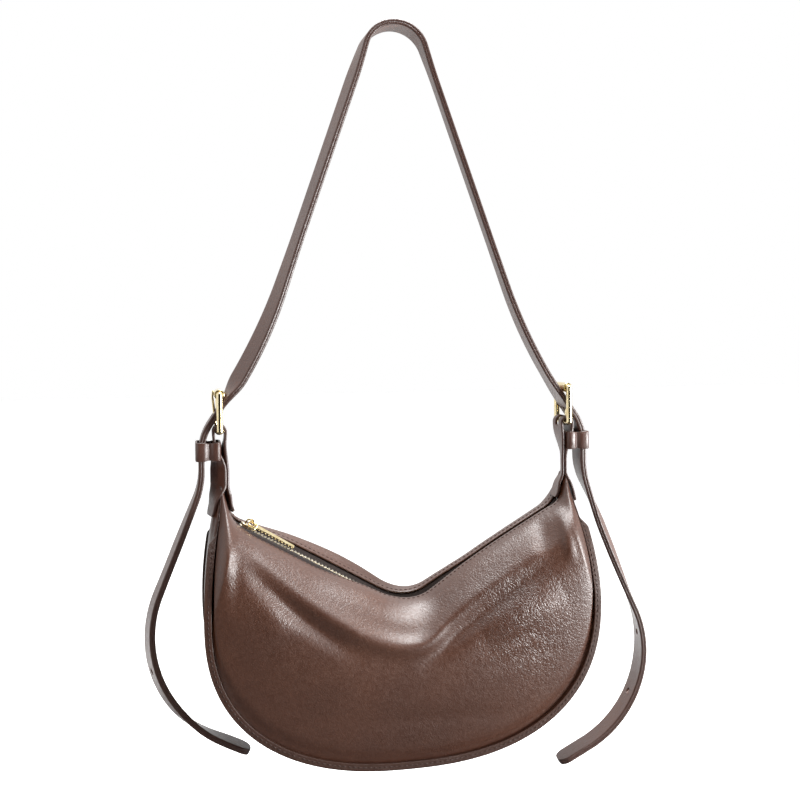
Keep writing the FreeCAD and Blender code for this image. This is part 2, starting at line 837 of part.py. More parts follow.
def right_keeper():
    """Leather loop that holds the tail against the tab's outer leg."""
    settle = settle_radius * (1 - math.cos(buckle_angle))
    tail_out = through_run * math.sin(buckle_angle) + settle + strap_thickness / 2
    low = -keeper_wall / 2
    high = tail_out + keeper_clearance + keeper_wall
    half_out = (high - low) / 2
    half_wide = strap_width / 2 + keeper_clearance + keeper_wall
    foot = Vector(buckle_x + (low + high) / 2, 0, bottom_bar_z - keeper_drop - keeper_height)
    across = Vector(1, 0, 0)
    outer = rounded_outline(half_out, half_wide, keeper_corner_radius, foot, across, BACK)
    inner = rounded_outline(half_out - keeper_wall, half_wide - keeper_wall,
                            keeper_corner_radius - keeper_wall, foot, across, BACK)
    return Part.Face(outer).cut(Part.Face(inner)).extrude(UP * keeper_height)


def build():
    """All pieces by name."""
    holes = strap_holes(-1, left_tail_run) + strap_holes(1, right_tail_run)
    across = Vector(1, 0, 0)
    pieces = {}
    pieces["strap_outer_ply"] = strap_ply(0, ply_thickness).cut(holes)
    pieces["strap_inner_ply"] = strap_ply(-ply_thickness, 0).cut(holes)
    for name, side in (("left", -1), ("right", 1)):
        pieces[name + "_buckle_frame"] = buckle_frame(side)
        pieces[name + "_buckle_roller"] = roller(side)
        pieces[name + "_buckle_prong"] = prong(side)
    pieces["right_tab"] = right_tab()
    pieces["left_tab"] = mirrored(pieces["right_tab"], across)
    pieces["right_keeper"] = right_keeper()
    pieces["left_keeper"] = mirrored(pieces["right_keeper"], across)
    pieces["front_panel"] = front_panel()
    pieces["back_panel"] = mirrored(pieces["front_panel"], BACK)
    pieces["gusset"] = gusset()
    pieces["front_seam_welt"] = front_welt()
    pieces["back_seam_welt"] = mirrored(pieces["front_seam_welt"], BACK)
    pieces["front_lining"] = lining(panel_grid(), 1)
    pieces["back_lining"] = mirrored(pieces["front_lining"], BACK)
    pieces["gusset_lining"] = lining(gusset_grid(), 0)
    pieces["front_zip_tape"] = front_tape()
    pieces["back_zip_tape"] = mirrored(pieces["front_zip_tape"], BACK)
    pieces["front_zip_teeth"] = zip_teeth(-1, 0)
    pieces["back_zip_teeth"] = zip_teeth(1, tooth_pitch / 2)
    pieces["zip_top_stops"] = zip_top_stops()
    pieces["zip_bottom_stop"] = zip_bottom_stop()
    pieces["zip_slider"] = zip_slider()
    pieces["zip_pull"] = zip_pull()
    return pieces


os.makedirs("parts", exist_ok=True)
for node, shape in build().items():
    shape.exportStep("parts/" + node + ".step")
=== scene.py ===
"""Half moon bag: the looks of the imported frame.

Every mesh is worked out in millimetres, in the frame of the construction, and put into Blender in
metres. X runs to the viewer's right, Y to the back and Z up. The strap's crown is near the origin.
"""

import logging
import math
from dataclasses import dataclass, field
from enum import Enum

import bpy
import numpy as np
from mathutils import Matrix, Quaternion, Vector


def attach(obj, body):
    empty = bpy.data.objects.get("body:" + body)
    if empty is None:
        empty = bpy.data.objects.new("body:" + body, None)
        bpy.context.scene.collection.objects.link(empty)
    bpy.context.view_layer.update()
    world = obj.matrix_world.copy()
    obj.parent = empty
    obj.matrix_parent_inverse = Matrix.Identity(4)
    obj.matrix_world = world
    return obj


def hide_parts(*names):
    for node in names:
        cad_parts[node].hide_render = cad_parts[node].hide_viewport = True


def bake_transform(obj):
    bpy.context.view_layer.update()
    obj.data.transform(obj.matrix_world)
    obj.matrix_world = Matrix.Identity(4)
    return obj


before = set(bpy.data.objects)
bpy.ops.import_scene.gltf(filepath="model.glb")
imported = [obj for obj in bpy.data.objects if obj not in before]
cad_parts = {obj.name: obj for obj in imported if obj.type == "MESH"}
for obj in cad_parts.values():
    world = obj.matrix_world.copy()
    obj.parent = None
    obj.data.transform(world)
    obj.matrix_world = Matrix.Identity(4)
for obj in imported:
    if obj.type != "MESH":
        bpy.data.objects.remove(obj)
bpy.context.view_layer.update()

Array = np.ndarray
Material = bpy.types.Material
Socket = bpy.types.NodeSocket
Pair = tuple[float, float]
Triple = tuple[float, float, float]
LOG = logging.getLogger("half_moon_bag")
MM = 0.001
BACK_WAY = np.array((0.0, 1.0, 0.0))


class Signed(Enum):
    """A choice of two, each the sign of an axis."""

    @property
    def label(self) -> str:
        """Word for it in the names of nodes and bodies."""
        return self.name.lower()

    def pick(self, pair: Pair) -> float:
        """Its own one of a pair, whose first is for the negative sign."""
        return pair[self.value > 0]


class Side(Signed):
    """Side of the bag as its viewer sees it, as the sign of X."""

    LEFT = -1
    RIGHT = 1


class Face(Signed):
    """Front or back of the bag, as the sign of Y."""

    FRONT = -1
    BACK = 1


class Edge(Enum):
    """How the edges of a piece are shaded: the angle in degrees from which they stay sharp."""

    SOFT = 180.0
    CRISP = 38.0


def unit(vectors: Array) -> Array:
    """Vectors of length one along the last axis."""
    return vectors / np.maximum(np.linalg.norm(vectors, axis=-1, keepdims=True), 1e-12)


def flat_points(across: Array, up: Array, depth: Array | float = 0.0) -> Array:
    """Points from their X, Z and Y shares, broadcast together."""
    across, up, depth = np.broadcast_arrays(across, up, depth)
    return np.stack((across, depth, up), axis=-1).astype(float)


def texture(first: Array, second: Array) -> Array:
    """Texture places from their two shares, broadcast together."""
    return np.stack(np.broadcast_arrays(first, second), axis=-1)


def run_along(line: Array) -> Array:
    """Distance of each point of a line from its first point."""
    return np.concatenate(([0.0], np.cumsum(np.linalg.norm(np.diff(line, axis=0), axis=1))))


def right_of(way: Array) -> Array:
    """Unit vectors (n, 2) a right angle to the right of flat directions."""
    return unit(np.stack((way[:, 1], -way[:, 0]), axis=-1))


def loop_normals(path: Array) -> Array:
    """Outward normals of a counter-clockwise outline (n, 2), from the chord past each point."""
    return right_of(np.roll(path, -1, axis=0) - np.roll(path, 1, axis=0))


def full_turn(count: int) -> Array:
    """Even angles round a full circle."""
    return np.linspace(0, 2 * math.pi, count, endpoint=False)


def bell(distance: Array, reach: float) -> Array:
    """A smooth bump: one at zero distance and a third at the reach, as exp(-(d / reach)^2)."""
    return np.exp(-((distance / reach) ** 2))


def ease(value: Array, low: float, high: float) -> Array:
    """Smooth step from 0 at low to 1 at high: t * t * (3 - 2 t)."""
    share = np.clip((value - low) / (high - low), 0.0, 1.0)
    return share * share * (3 - 2 * share)


def plateau(value: Array, rise: Pair, fall: Pair) -> Array:
    """Smooth step from 0 to 1 over the rise, and back to 0 over the fall."""
    return ease(value, *rise) * (1 - ease(value, *fall))


def arc(radius: float, turn: float) -> Pair:
    """Length and turn of an arc, for a turn in degrees."""
    return radius * math.radians(abs(turn)), turn


def rounded_ring(half_a: float, half_b: float, radii: Pair, steps: int, cells: int) -> Array:
    """Outline of a rectangle with rounded corners, counter-clockwise from its lower right corner.

    Each corner is a quarter circle of its own radius about a centre that lies a radius inside both
    sides. The top and the low side get evenly spaced points between their corners.

    Args:
        half_a: half of the length along the first axis.
        half_b: half of the length along the second axis.
        radii: corner radius at the low and at the high end of the second axis.
        steps: cells in each quarter circle.
        cells: cells along the top and the low side, between the corners.

    Returns:
        Points (n, 2) on the outline.
    """
    turn = np.linspace(0, math.pi / 2, steps + 1)
    rows = []
    for k, (sign_a, sign_b) in enumerate(((1, -1), (1, 1), (-1, 1), (-1, -1))):
        radius = radii[sign_b > 0]
        angle = turn + math.pi / 2 * (k - 1)
        corner = np.stack((np.cos(angle), np.sin(angle)), axis=-1) * radius
        rows.append(corner + np.array((sign_a * (half_a - radius), sign_b * (half_b - radius))))
    share = (np.arange(1, cells) / cells)[:, None]
    top = rows[1][-1] * (1 - share) + rows[2][0] * share
    low = rows[3][-1] * (1 - share) + rows[0][0] * share
    return np.concatenate((rows[0], rows[1], top, rows[2], rows[3], low))


def grid_quads(rows: int, columns: int, wrap_rows: bool, wrap_columns: bool) -> Array:
    """Corner numbers of the cells of a grid of points.

    Args:
        rows: number of rows of points.
        columns: number of points in a row.
        wrap_rows: whether the last row joins the first.
        wrap_columns: whether the last point of a row joins its first.

    Returns:
        Corner numbers (n, 4).
    """
    i = np.arange(rows if wrap_rows else rows - 1)[:, None]
    j = np.arange(columns if wrap_columns else columns - 1)
    after, beside = (i + 1) % rows, (j + 1) % columns
    corners = (i * columns + j, after * columns + j, after * columns + beside, i * columns + beside)
    return np.stack(np.broadcast_arrays(*corners), axis=-1).reshape(-1, 4)


def border_of(grid: Array) -> Array:
    """Values round the border of a grid, each corner once."""
    return np.concatenate((grid[0, :-1], grid[:-1, -1], grid[-1, :0:-1], grid[:0:-1, 0]))


def end_fans(number: Array) -> Array:
    """Triangles that close both ends of a tube.

    Args:
        number: point numbers (stations, profile points), which run on from 0.

    Returns:
        Corner numbers (n, 3), from each end ring to its own one of two points numbered after the grid.
    """
    ends = enumerate((number[0], number[-1][::-1]))
    fans = [np.broadcast_arrays(number.size + k, line, np.roll(line, -1)) for k, line in ends]
    return np.concatenate([np.stack(fan, axis=-1) for fan in fans])


@dataclass(frozen=True)
class ArcChain:
    """A flat path of straights and arcs, measured along from its start.

    The heading is the angle from straight down, in degrees, positive outward. Each move is a length
    and a turn in degrees.
    """

    across: float
    up: float
    heading: float
    moves: tuple[Pair, ...]

    @property
    def length(self) -> float:
        """Length of the whole path."""
        return sum(length for length, turn in self.moves)

    def at(self, distance: Array) -> tuple[Array, Array, Array]:
        """Places and headings at distances along the path.

        In a move the heading grows evenly. The way from the move's start is then a chord of length
        u * sin(t) / t at the mean heading, where u is the run and t is half of the turn so far.

        Args:
            distance: distances from the path's start.

        Returns:
            Across, up and heading in radians at each distance.
        """
        lengths, turns = np.array(self.moves, dtype=float).T
        turns = np.radians(turns)
        marks = np.concatenate(([0.0], np.cumsum(lengths)))
        heads = math.radians(self.heading) + np.concatenate(([0.0], np.cumsum(turns)))
        chords = lengths * np.sinc(turns / 2 / math.pi)
        middles = heads[:-1] + turns / 2
        knots_x = self.across + np.concatenate(([0.0], np.cumsum(chords * np.sin(middles))))
        knots_z = self.up - np.concatenate(([0.0], np.cumsum(chords * np.cos(middles))))
        k = np.clip(np.searchsorted(marks, distance, side="right") - 1, 0, len(lengths) - 1)
        run = distance - marks[k]
        half = turns[k] * run / lengths[k] / 2
        chord = run * np.sinc(half / math.pi)
        across = knots_x[k] + chord * np.sin(heads[k] + half)
        up = knots_z[k] - chord * np.cos(heads[k] + half)
        return across, up, heads[k] + 2 * half


@dataclass
class Skin:
    """A mesh in the making: points, faces, and a texture place and a share of edge paint and painted shade at
    each point.
    """

    points: list[Array] = field(default_factory=list)
    quads: list[Array] = field(default_factory=list)
    triangles: list[Array] = field(default_factory=list)
    places: list[Array] = field(default_factory=list)
    paint: list[Array] = field(default_factory=list)
    count: int = 0

    def add(self, points: Array, quads: Array, triangles: Array, places: Array, paint: Array) -> None:
        """Takes in one closed shape and turns its faces outward.

        The shape's volume is a sixth of the sum of a . (b x c) over its triangles. Where that is below
        zero the shape is inside out, and the corners of each face are taken in reverse.

        Args:
            points: places of the points (n, 3).
            quads: corner numbers of the four-sided faces.
            triangles: corner numbers of the three-sided faces.
            places: texture places (n, 2).
            paint: share of edge paint and painted shade at each point (n,).
        """
        parts = np.concatenate((triangles, quads[:, :3], quads[:, (0, 2, 3)]))
        a, b, c = (points[parts[:, k]] - points.mean(axis=0) for k in range(3))
        if np.einsum("ij,ij->", a, np.cross(b, c)) < 0:
            quads, triangles = quads[:, ::-1], triangles[:, ::-1]
        self.points.append(points)
        self.quads.append(quads + self.count)
        self.triangles.append(triangles + self.count)
        self.places.append(places)
        self.paint.append(paint)
        self.count += len(points)

    def add_tube(self, rings: Array, places: Array | None = None, paint: Array | float = 0.0,
                 closed: bool = False, keep: Array | bool = True, walls: tuple[Array, ...] = ()) -> None:
        """Takes in a closed profile carried along a path.

        Args:
            rings: points (stations, profile points, 3).
            places: texture places (stations, profile points, 2), or the ring and point numbers.
            paint: share of edge paint and painted shade, broadcast to the stations and profile points.
            closed: whether the path closes; otherwise a fan from its middle closes each end.
            keep: which cells between the rings stay.
            walls: corner numbers of the faces that close what the other cells leave open.
        """
        stations, around = rings.shape[:2]
        if places is None:
            places = texture(np.arange(stations)[:, None], np.arange(around)) * 0.5
        points, places = rings.reshape(-1, 3), places.reshape(-1, 2)
        paint = np.broadcast_to(paint, (stations, around)).reshape(-1)
        cells = grid_quads(stations, around, closed, True)
        kept = np.broadcast_to(keep, (len(cells) // around, around)).reshape(-1)
        quads = np.concatenate((cells[kept], *walls))
        triangles = np.zeros((0, 3), dtype=int)
        if not closed:
            triangles = end_fans(np.arange(len(points)).reshape(stations, around))
            points = np.concatenate((points, rings[:1].mean(axis=1), rings[-1:].mean(axis=1)))
            places = np.concatenate((places, places[:1], places[-1:]))
            paint = np.concatenate((paint, paint[:1], paint[-1:]))
        used, corners = np.unique(np.concatenate((quads, triangles), axis=None), return_inverse=True)
        self.add(points[used], corners[:quads.size].reshape(-1, 4), corners[quads.size:].reshape(-1, 3),
                 places[used], paint[used])

    def add_ply(self, rings: Array, places: Array, paint: Array, steps: int, cells: int,
                holes: tuple[tuple[int, int, int, int], ...] = ()) -> None:
        """Takes in a strip of leather whose profile is a rounded ring, with holes through it.

        A hole is a block of cells that is left out of both faces of the strip. A wall of quads joins
        the two borders that this leaves.

        Args:
            rings: points (stations, profile points, 3) of rounded_ring profiles along the strip.
            places: texture places of the same points.
            paint: share of edge paint, broadcast to the stations and profile points.
            steps: cells in each corner of the profile.
            cells: cells along each face of the profile.
            holes: first and last station, and first and last column, of each hole.
        """
        stations, around = rings.shape[:2]
        column = np.arange(cells + 1)
        top = 2 * steps + 1 + column
        low = ((4 * steps + cells + 2 + column) % around)[::-1]
        number = np.arange(stations * around).reshape(stations, around)
        keep = np.ones((stations - 1, around), dtype=bool)
        walls = []
        for first, last, left, right in holes:
            keep[first:last, top[left:right]] = False
            keep[first:last, low[left + 1:right + 1]] = False
            over, under = (border_of(number[first:last + 1][:, face[left:right + 1]]) for face in (top, low))
            walls.append(np.stack((over, under, np.roll(under, -1), np.roll(over, -1)), axis=-1))
        self.add_tube(rings, places, paint, False, keep, tuple(walls))

    def add_shell(self, outer: Array, inner: Array, rim: float, places: Array) -> None:
        """Takes in a sheet with two faces and a rounded rim.

        The outer and inner grids are ringed by three rows of rim points. These stand on the half circle
        between the two faces' borders, pushed along the sheet by the rim times the sine of the angle.

        Args:
            outer: points of the outer face (rows, columns, 3).
            inner: points of the inner face, in the same order.
            rim: how far the rounded rim stands out.
            places: texture places (rows, columns, 2) for both faces.
        """
        rows, columns = outer.shape[:2]
        size = rows * columns
        number = np.arange(size).reshape(rows, columns)
        border = border_of(number)
        faces = outer.reshape(-1, 3), inner.reshape(-1, 3)
        nearest = np.ix_(np.clip(np.arange(rows), 1, rows - 2), np.clip(np.arange(columns), 1, columns - 2))
        outward = unit(faces[0][border] - faces[0][border_of(number[nearest])])
        angle = np.radians((45.0, 90.0, 135.0))[:, None, None]
        share = (1 - np.cos(angle)) / 2
        rims = faces[0][border] * (1 - share) + faces[1][border] * share + outward * rim * np.sin(angle)
        rim_number = 2 * size + np.arange(rims.shape[0] * len(border)).reshape(rims.shape[:2])
        chain = np.concatenate((border[None], rim_number, border[None] + size))
        beside = np.roll(chain, -1, axis=1)
        walls = np.stack((chain[:-1], beside[:-1], beside[1:], chain[1:]), axis=-1).reshape(-1, 4)
        quads = grid_quads(rows, columns, False, False)
        quads = np.concatenate((quads, quads[:, ::-1] + size, walls))
        points = np.concatenate((*faces, rims.reshape(-1, 3)))
        flat = places.reshape(-1, 2)
        self.add(points, quads, np.zeros((0, 3), dtype=int),
                 np.concatenate((flat, flat, np.tile(flat[border], (3, 1)))), np.zeros(len(points)))

    def add_plate(self, outline: Array, low: float, high: float, bevel: float, origin: Array,
                  axes: Array) -> None:
        """Takes in a plate with rounded rims.

        Near both faces the outline is drawn in along its own normals by b * (1 - sin t), at a height of
        b * (1 - cos t) from the face, which makes a quarter round of radius b.

        Args:
            outline: counter-clockwise outline (n, 2) in the first two axes.
            low: height of the lower face along the third axis.
            high: height of the upper face.
            bevel: radius of the rims.
            origin: place of the outline's zero.
            axes: three axes as rows (3, 3).
        """
        angle = np.linspace(0, math.pi / 2, 5)
        inset = np.concatenate(([1.04 * bevel], bevel * (1 - np.sin(angle))))
        rise = np.concatenate(([0.0], bevel * (1 - np.cos(angle))))
        insets = np.concatenate((inset, inset[::-1]))
        heights = np.concatenate((low + rise, (high - rise)[::-1]))
        flat = outline - loop_normals(outline) * insets[:, None, None]
        self.add_tube(origin + flat @ axes[:2] + heights[:, None, None] * axes[2], flat)

    def add_lathe(self, profile: Array, centre: Array, facets: int) -> None:
        """Takes in a profile turned about a line along Y.

        Args:
            profile: closed outline of (depth, radius).
            centre: a point of the line.
            facets: steps of the turn.
        """
        angle = full_turn(facets)[:, None]
        depth, radius = profile.T
        turned = flat_points(radius * np.cos(angle), radius * np.sin(angle), depth)
        self.add_tube(turned + centre, closed=True)

    def piece(self, name: str, material: Material, slot: str, body: str | None = None,
              edge: Edge = Edge.SOFT, own_node: bool = True) -> bpy.types.Object:
        """Makes the Blender object of everything taken in.

        Args:
            name: name of the piece.
            material: its finish.
            slot: material slot of the record; not used.
            body: body that it moves with, or None to leave it unattached.
            edge: how its edges are shaded.
            own_node: whether it stands for the node of the frame that has its name.

        Returns:
            The piece, at the origin, unturned and unscaled.
        """
        mesh = bpy.data.meshes.new(name)
        quads, triangles = np.concatenate(self.quads), np.concatenate(self.triangles)
        points = np.concatenate(self.points) * MM
        mesh.from_pydata(points, [], quads.tolist() + triangles.tolist())
        corners = np.concatenate((quads, triangles), axis=None)
        places = np.concatenate(self.places)[corners].astype(np.float32) * MM
        mesh.uv_layers.new(name="UVMap").uv.foreach_set("vector", places.reshape(-1))
        paint = mesh.attributes.new("edge_paint_and_shade", "FLOAT", "POINT")
        paint.data.foreach_set("value", np.concatenate(self.paint).astype(np.float32))
        mesh.shade_smooth()
        if edge is Edge.CRISP:
            mesh.set_sharp_from_angle(angle=math.radians(edge.value))
        mesh.materials.append(material)
        obj = bpy.data.objects.new(name, mesh)
        bpy.context.scene.collection.objects.link(obj)
        if own_node:
            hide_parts(name)
        if body is not None:
            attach(obj, body)
        LOG.info("%s: %d points, %d faces", name, len(points), len(quads) + len(triangles))
        return obj


def tone(red: int, green: int, blue: int) -> Triple:
    """Linear colour of a screen colour of 0 to 255: ((c + 0.055) / 1.055)^2.4 of each share."""
    share = np.array((red, green, blue)) / 255
    return tuple(np.where(share <= 0.04045, share / 12.92, ((share + 0.055) / 1.055) ** 2.4).tolist())


class NodeSheet:
    """Node tree of one finish, with short calls that add nodes and join them."""

    def __init__(self, name: str) -> None:
        """Starts a material that holds the surface shader alone.

        Args:
            name: name of the material.
        """
        self.material = bpy.data.materials.new(name)
        self.material.use_nodes = True
        self.tree = self.material.node_tree
        self.shader = self.tree.nodes["Principled BSDF"]

    def node(self, kind: str, inputs: dict[str | int, object], **settings: object) -> bpy.types.Node:
        """Adds a node.

        Args:
            kind: Blender's name of the node type, after the prefix that all shader nodes have.
            inputs: value or source socket of each named or numbered input.
            settings: values of the node's own properties.

        Returns:
            The new node.
        """
        node = self.tree.nodes.new("ShaderNode" + kind)
        for key, value in settings.items():
            setattr(node, key, value)
        self.feed(node, inputs)
        return node

    def feed(self, node: bpy.types.Node, inputs: dict[str | int, object]) -> None:
        """Sets or links inputs of a node.

        Args:
            node: node to feed.
            inputs: value or source socket of each named or numbered input.
        """
        for key, value in inputs.items():
            if isinstance(value, Socket):
                self.tree.links.new(value, node.inputs[key])
            else:
                node.inputs[key].default_value = value

    def dress(self, colour: Socket, roughness: Socket, normal: Socket, **constants: float) -> Material:
        """Feeds the surface shader.

        Args:
            colour: source of the base colour.
            roughness: source of the roughness.
            normal: source of the normal.
            constants: values of other inputs, with _ for each space in their names.

        Returns:
            The finished material.
        """
        self.feed(self.shader, {"Base Color": colour, "Roughness": roughness, "Normal": normal})
        self.feed(self.shader, {name.replace("_", " "): value for name, value in constants.items()})
        return self.material

    def noise(self, place: Socket, scale: float, detail: float, output: int = 0) -> Socket:
        """Cloudy noise of a scale, in features per metre: output 0 is its value and 1 its colour."""
        return self.node("TexNoise", {"Vector": place, "Scale": scale, "Detail": detail}).outputs[output]

    def ramp(self, factor: Socket, stops: tuple[tuple[float, Triple], ...]) -> Socket:
        """Colours blended over a factor.

        Args:
            factor: socket with the factor.
            stops: places from 0 to 1 with their linear colours.

        Returns:
            Socket with the colour.
        """
        node = self.node("ValToRGB", {0: factor})
        elements = node.color_ramp.elements
        while len(elements) < len(stops):
            elements.new(0.5)
        for element, (place, colour) in zip(elements, stops):
            element.position = place
            element.color = (*colour, 1.0)
        return node.outputs[0]

    def blend(self, factor: Socket, first: Socket, second: Triple) -> Socket:
        """Mix of two colours by a factor."""
        return self.node("Mix", {0: factor, 6: first, 7: (*second, 1.0)}, data_type="RGBA").outputs[2]

    def span(self, value: Socket, source: Pair, target: Pair) -> Socket:
        """Straight change of a value from one range to another, held at its ends."""
        return self.node("MapRange", dict(enumerate((value, *source, *target)))).outputs[0]

    def maths(self, operation: str, first: Socket, second: Socket | float) -> Socket:
        """Result of a sum on two values."""
        return self.node("Math", {0: first, 1: second}, operation=operation).outputs[0]

    def bump(self, height: Socket, strength: float, depth: float, normal: Socket | None = None) -> Socket:
        """Surface normal tilted by a height.

        Args:
            height: source of the height.
            strength: share of the tilt that is used.
            depth: metres that a height of one stands for.
            normal: normal to tilt, or None for the mesh's own.

        Returns:
            Socket with the normal.
        """
        inputs = {"Height": height, "Strength": strength, "Distance": depth}
        if normal is not None:
            inputs["Normal"] = normal
        return self.node("Bump", inputs).outputs[0]

    def place(self, output: str) -> Socket:
        """Texture place of a kind: Object for the frame's metres, UV for the piece's own surface."""
        return self.node("TexCoord", {}).outputs[output]

    def share(self, attribute: str) -> Socket:
        """Share that the mesh carries at each point, such as that of edge paint."""
        return self.node("Attribute", {}, attribute_name=attribute).outputs["Fac"]


@dataclass(frozen=True)
class Leather:
    """Waxed leather: cloudy brown, fine pores, creases in patches with painted shade in them, and dark
    painted edges.
    """

    name: str
    dyes: tuple[Triple, Triple, Triple]
    edge: Triple
    crease_strength: float
    roughness: Pair
    cloud_scale: float = 18.0
    mottle_scale: float = 420.0
    mottle_share: float = 0.45
    warp_scale: float = 150.0
    warp_reach: float = 0.007
    crease_scale: float = 430.0
    crease_width: float = 0.22
    patch_scale: float = 20.0
    pore_scale: float = 1000.0
    shine: float = 0.8

    def material(self) -> Material:
        """Builds the finish.

        Two noises give the clouds of the dye. Pores are the cells of a fine Voronoi pattern. Creases are
        the borders of a coarse one whose place is warped by noise, held to patches by another noise and
        by the crinkle that the mesh carries. The crease lines also darken the colour towards the darkest
        dye, as painted shade in their hollows.

        Returns:
            The material.
        """
        sheet = NodeSheet(self.name)
        place = sheet.place("Object")
        mottle = sheet.noise(place, self.mottle_scale, 5.0)
        cloud = sheet.maths("MULTIPLY", sheet.noise(place, self.cloud_scale, 3.0), 1 - self.mottle_share)
        dye = sheet.maths("ADD", cloud, sheet.maths("MULTIPLY", mottle, self.mottle_share))
        colour = sheet.ramp(dye, tuple(zip((0.25, 0.5, 0.75), self.dyes)))
        warp = sheet.noise(place, self.warp_scale, 3.0, 1)
        shift = sheet.node("VectorMath", {0: warp, "Scale": self.warp_reach}, operation="SCALE").outputs[0]
        warped = sheet.node("VectorMath", {0: place, 1: shift}, operation="ADD").outputs[0]
        cells = {"Vector": warped, "Scale": self.crease_scale}
        border = sheet.node("TexVoronoi", cells, feature="DISTANCE_TO_EDGE").outputs[0]
        line = sheet.span(border, (0.0, self.crease_width), (0.0, 1.0))
        patch = sheet.span(sheet.noise(place, self.patch_scale, 2.0), (0.46, 0.70), (0.06, 0.30))
        patch = sheet.maths("ADD", patch, sheet.share("crinkle"))
        crease = sheet.maths("MULTIPLY", sheet.maths("SUBTRACT", line, 1.0), patch)
        pores = sheet.node("TexVoronoi", {"Vector": place, "Scale": self.pore_scale}).outputs[0]
        normal = sheet.bump(pores, 0.2, 0.0003)
        normal = sheet.bump(crease, self.crease_strength, 0.0005, normal)
        normal = sheet.bump(mottle, 0.25, 0.0008, normal)
        # Crease lines darken the colour towards the darkest dye: painted shade in their hollows.
        crease_shaded = sheet.blend(sheet.maths("MULTIPLY", crease, -0.25), colour, self.dyes[0])
        # Dark edge colour by the mesh's share: edge paint on cut edges, and painted shade on the raised
        # seams.
        painted = sheet.blend(sheet.share("edge_paint_and_shade"), crease_shaded, self.edge)
        gloss = sheet.span(mottle, (0.3, 0.7), self.roughness)
        return sheet.dress(painted, gloss, normal, Specular_IOR_Level=self.shine)


@dataclass(frozen=True)
class PolishedMetal:
    """Plated metal with faint wipe marks and small changes of gloss."""

    name: str
    colour: Triple
    shade: Triple
    roughness: Pair
    cloud_scale: float = 240.0
    mark_scale: float = 900.0
    mark_stretch: Triple = (3.0, 3.0, 0.3)

    def material(self) -> Material:
        """Builds the finish from a cloudy noise for tone, and a stretched one for the gloss and marks.

        Returns:
            The material.
        """
        sheet = NodeSheet(self.name)
        place = sheet.place("Object")
        cloud = sheet.noise(place, self.cloud_scale, 2.0)
        long = sheet.node("Mapping", {"Vector": place, "Scale": self.mark_stretch}).outputs[0]
        marks = sheet.noise(long, self.mark_scale, 2.0)
        colour = sheet.ramp(cloud, ((0.3, self.shade), (0.65, self.colour)))
        gloss = sheet.span(marks, (0.3, 0.7), self.roughness)
        return sheet.dress(colour, gloss, sheet.bump(marks, 0.04, 0.0001), Metallic=1.0)


@dataclass(frozen=True)
class WovenCloth:
    """Close weave of two thread directions on the piece's own surface."""

    name: str
    thread: Triple
    gap: Triple
    threads_per_metre: float
    fibre_scale: float = 1500.0

    def material(self) -> Material:
        """Builds the finish: two sine waves at right angles, whose greater one is the upper thread.

        Returns:
            The material.
        """
        sheet = NodeSheet(self.name)
        inputs = {"Vector": sheet.place("UV"), "Scale": self.threads_per_metre / 20, "Distortion": 0.4}
        waves = [sheet.node("TexWave", inputs, bands_direction=way).outputs[1] for way in ("X", "Y")]
        fibre = sheet.noise(sheet.place("Object"), self.fibre_scale, 2.0)
        height = sheet.maths("ADD", sheet.maths("MAXIMUM", *waves), sheet.maths("MULTIPLY", fibre, 0.4))
        # Low places of the weave, between the threads, take the darker gap colour as painted shade; the fibre
        # noise varies the tone at random.
        colour = sheet.ramp(height, ((0.25, self.gap), (1.0, self.thread)))
        gloss = sheet.span(fibre, (0.3, 0.7), (0.75, 0.92))
        return sheet.dress(colour, gloss, sheet.bump(height, 0.35, 0.0003))


@dataclass(frozen=True)
class Thread:
    """Waxed sewing thread with its twist."""

    name: str
    colour: Triple
    shade: Triple
    twist_scale: float = 130.0

    def material(self) -> Material:
        """Builds the finish: slanted sine bands along the thread for the twist.

        Returns:
            The material.
        """
        sheet = NodeSheet(self.name)
        inputs = {"Vector": sheet.place("UV"), "Scale": self.twist_scale, "Distortion": 0.2}
        twist = sheet.node("TexWave", inputs, bands_direction="DIAGONAL").outputs[1]
        # The twist's grooves take the darker shade colour, a painted shade between the strands.
        colour = sheet.ramp(twist, ((0.1, self.shade), (0.8, self.colour)))
        gloss = sheet.span(twist, (0.0, 1.0), (0.62, 0.5))
        return sheet.dress(colour, gloss, sheet.bump(twist, 0.3, 0.0002))


BODY_DYES = tone(52, 25, 12), tone(61, 31, 15), tone(72, 39, 20)
STRAP_DYES = tone(60, 32, 21), tone(71, 40, 27), tone(83, 51, 36)
# The body's edge colour darkens only the raised seams: edge paint on their rims, painted shade on their faces
# and groove.
BODY_LEATHER = Leather("body_leather", BODY_DYES, tone(38, 21, 14), 0.5, (0.36, 0.47))
STRAP_LEATHER = Leather("strap_leather", STRAP_DYES, tone(54, 31, 23), 0.25, (0.34, 0.46))
GOLD_METAL = PolishedMetal("gold_metal", tone(244, 230, 190), tone(230, 208, 156), (0.10, 0.2))
ZIP_METAL = PolishedMetal("zip_metal", tone(240, 234, 218), tone(222, 212, 190), (0.3, 0.44))
ZIP_TAPE = WovenCloth("zip_tape", tone(33, 22, 18), tone(18, 12, 10), 1400.0)
LINING_CLOTH = WovenCloth("lining_cloth", tone(112, 92, 76), tone(70, 54, 44), 1800.0)
FLAG_CLOTH = WovenCloth("studio_flags", tone(66, 63, 60), tone(48, 46, 44), 300.0)
SEWING_THREAD = Thread("sewing_thread", tone(50, 29, 21), tone(36, 20, 14))


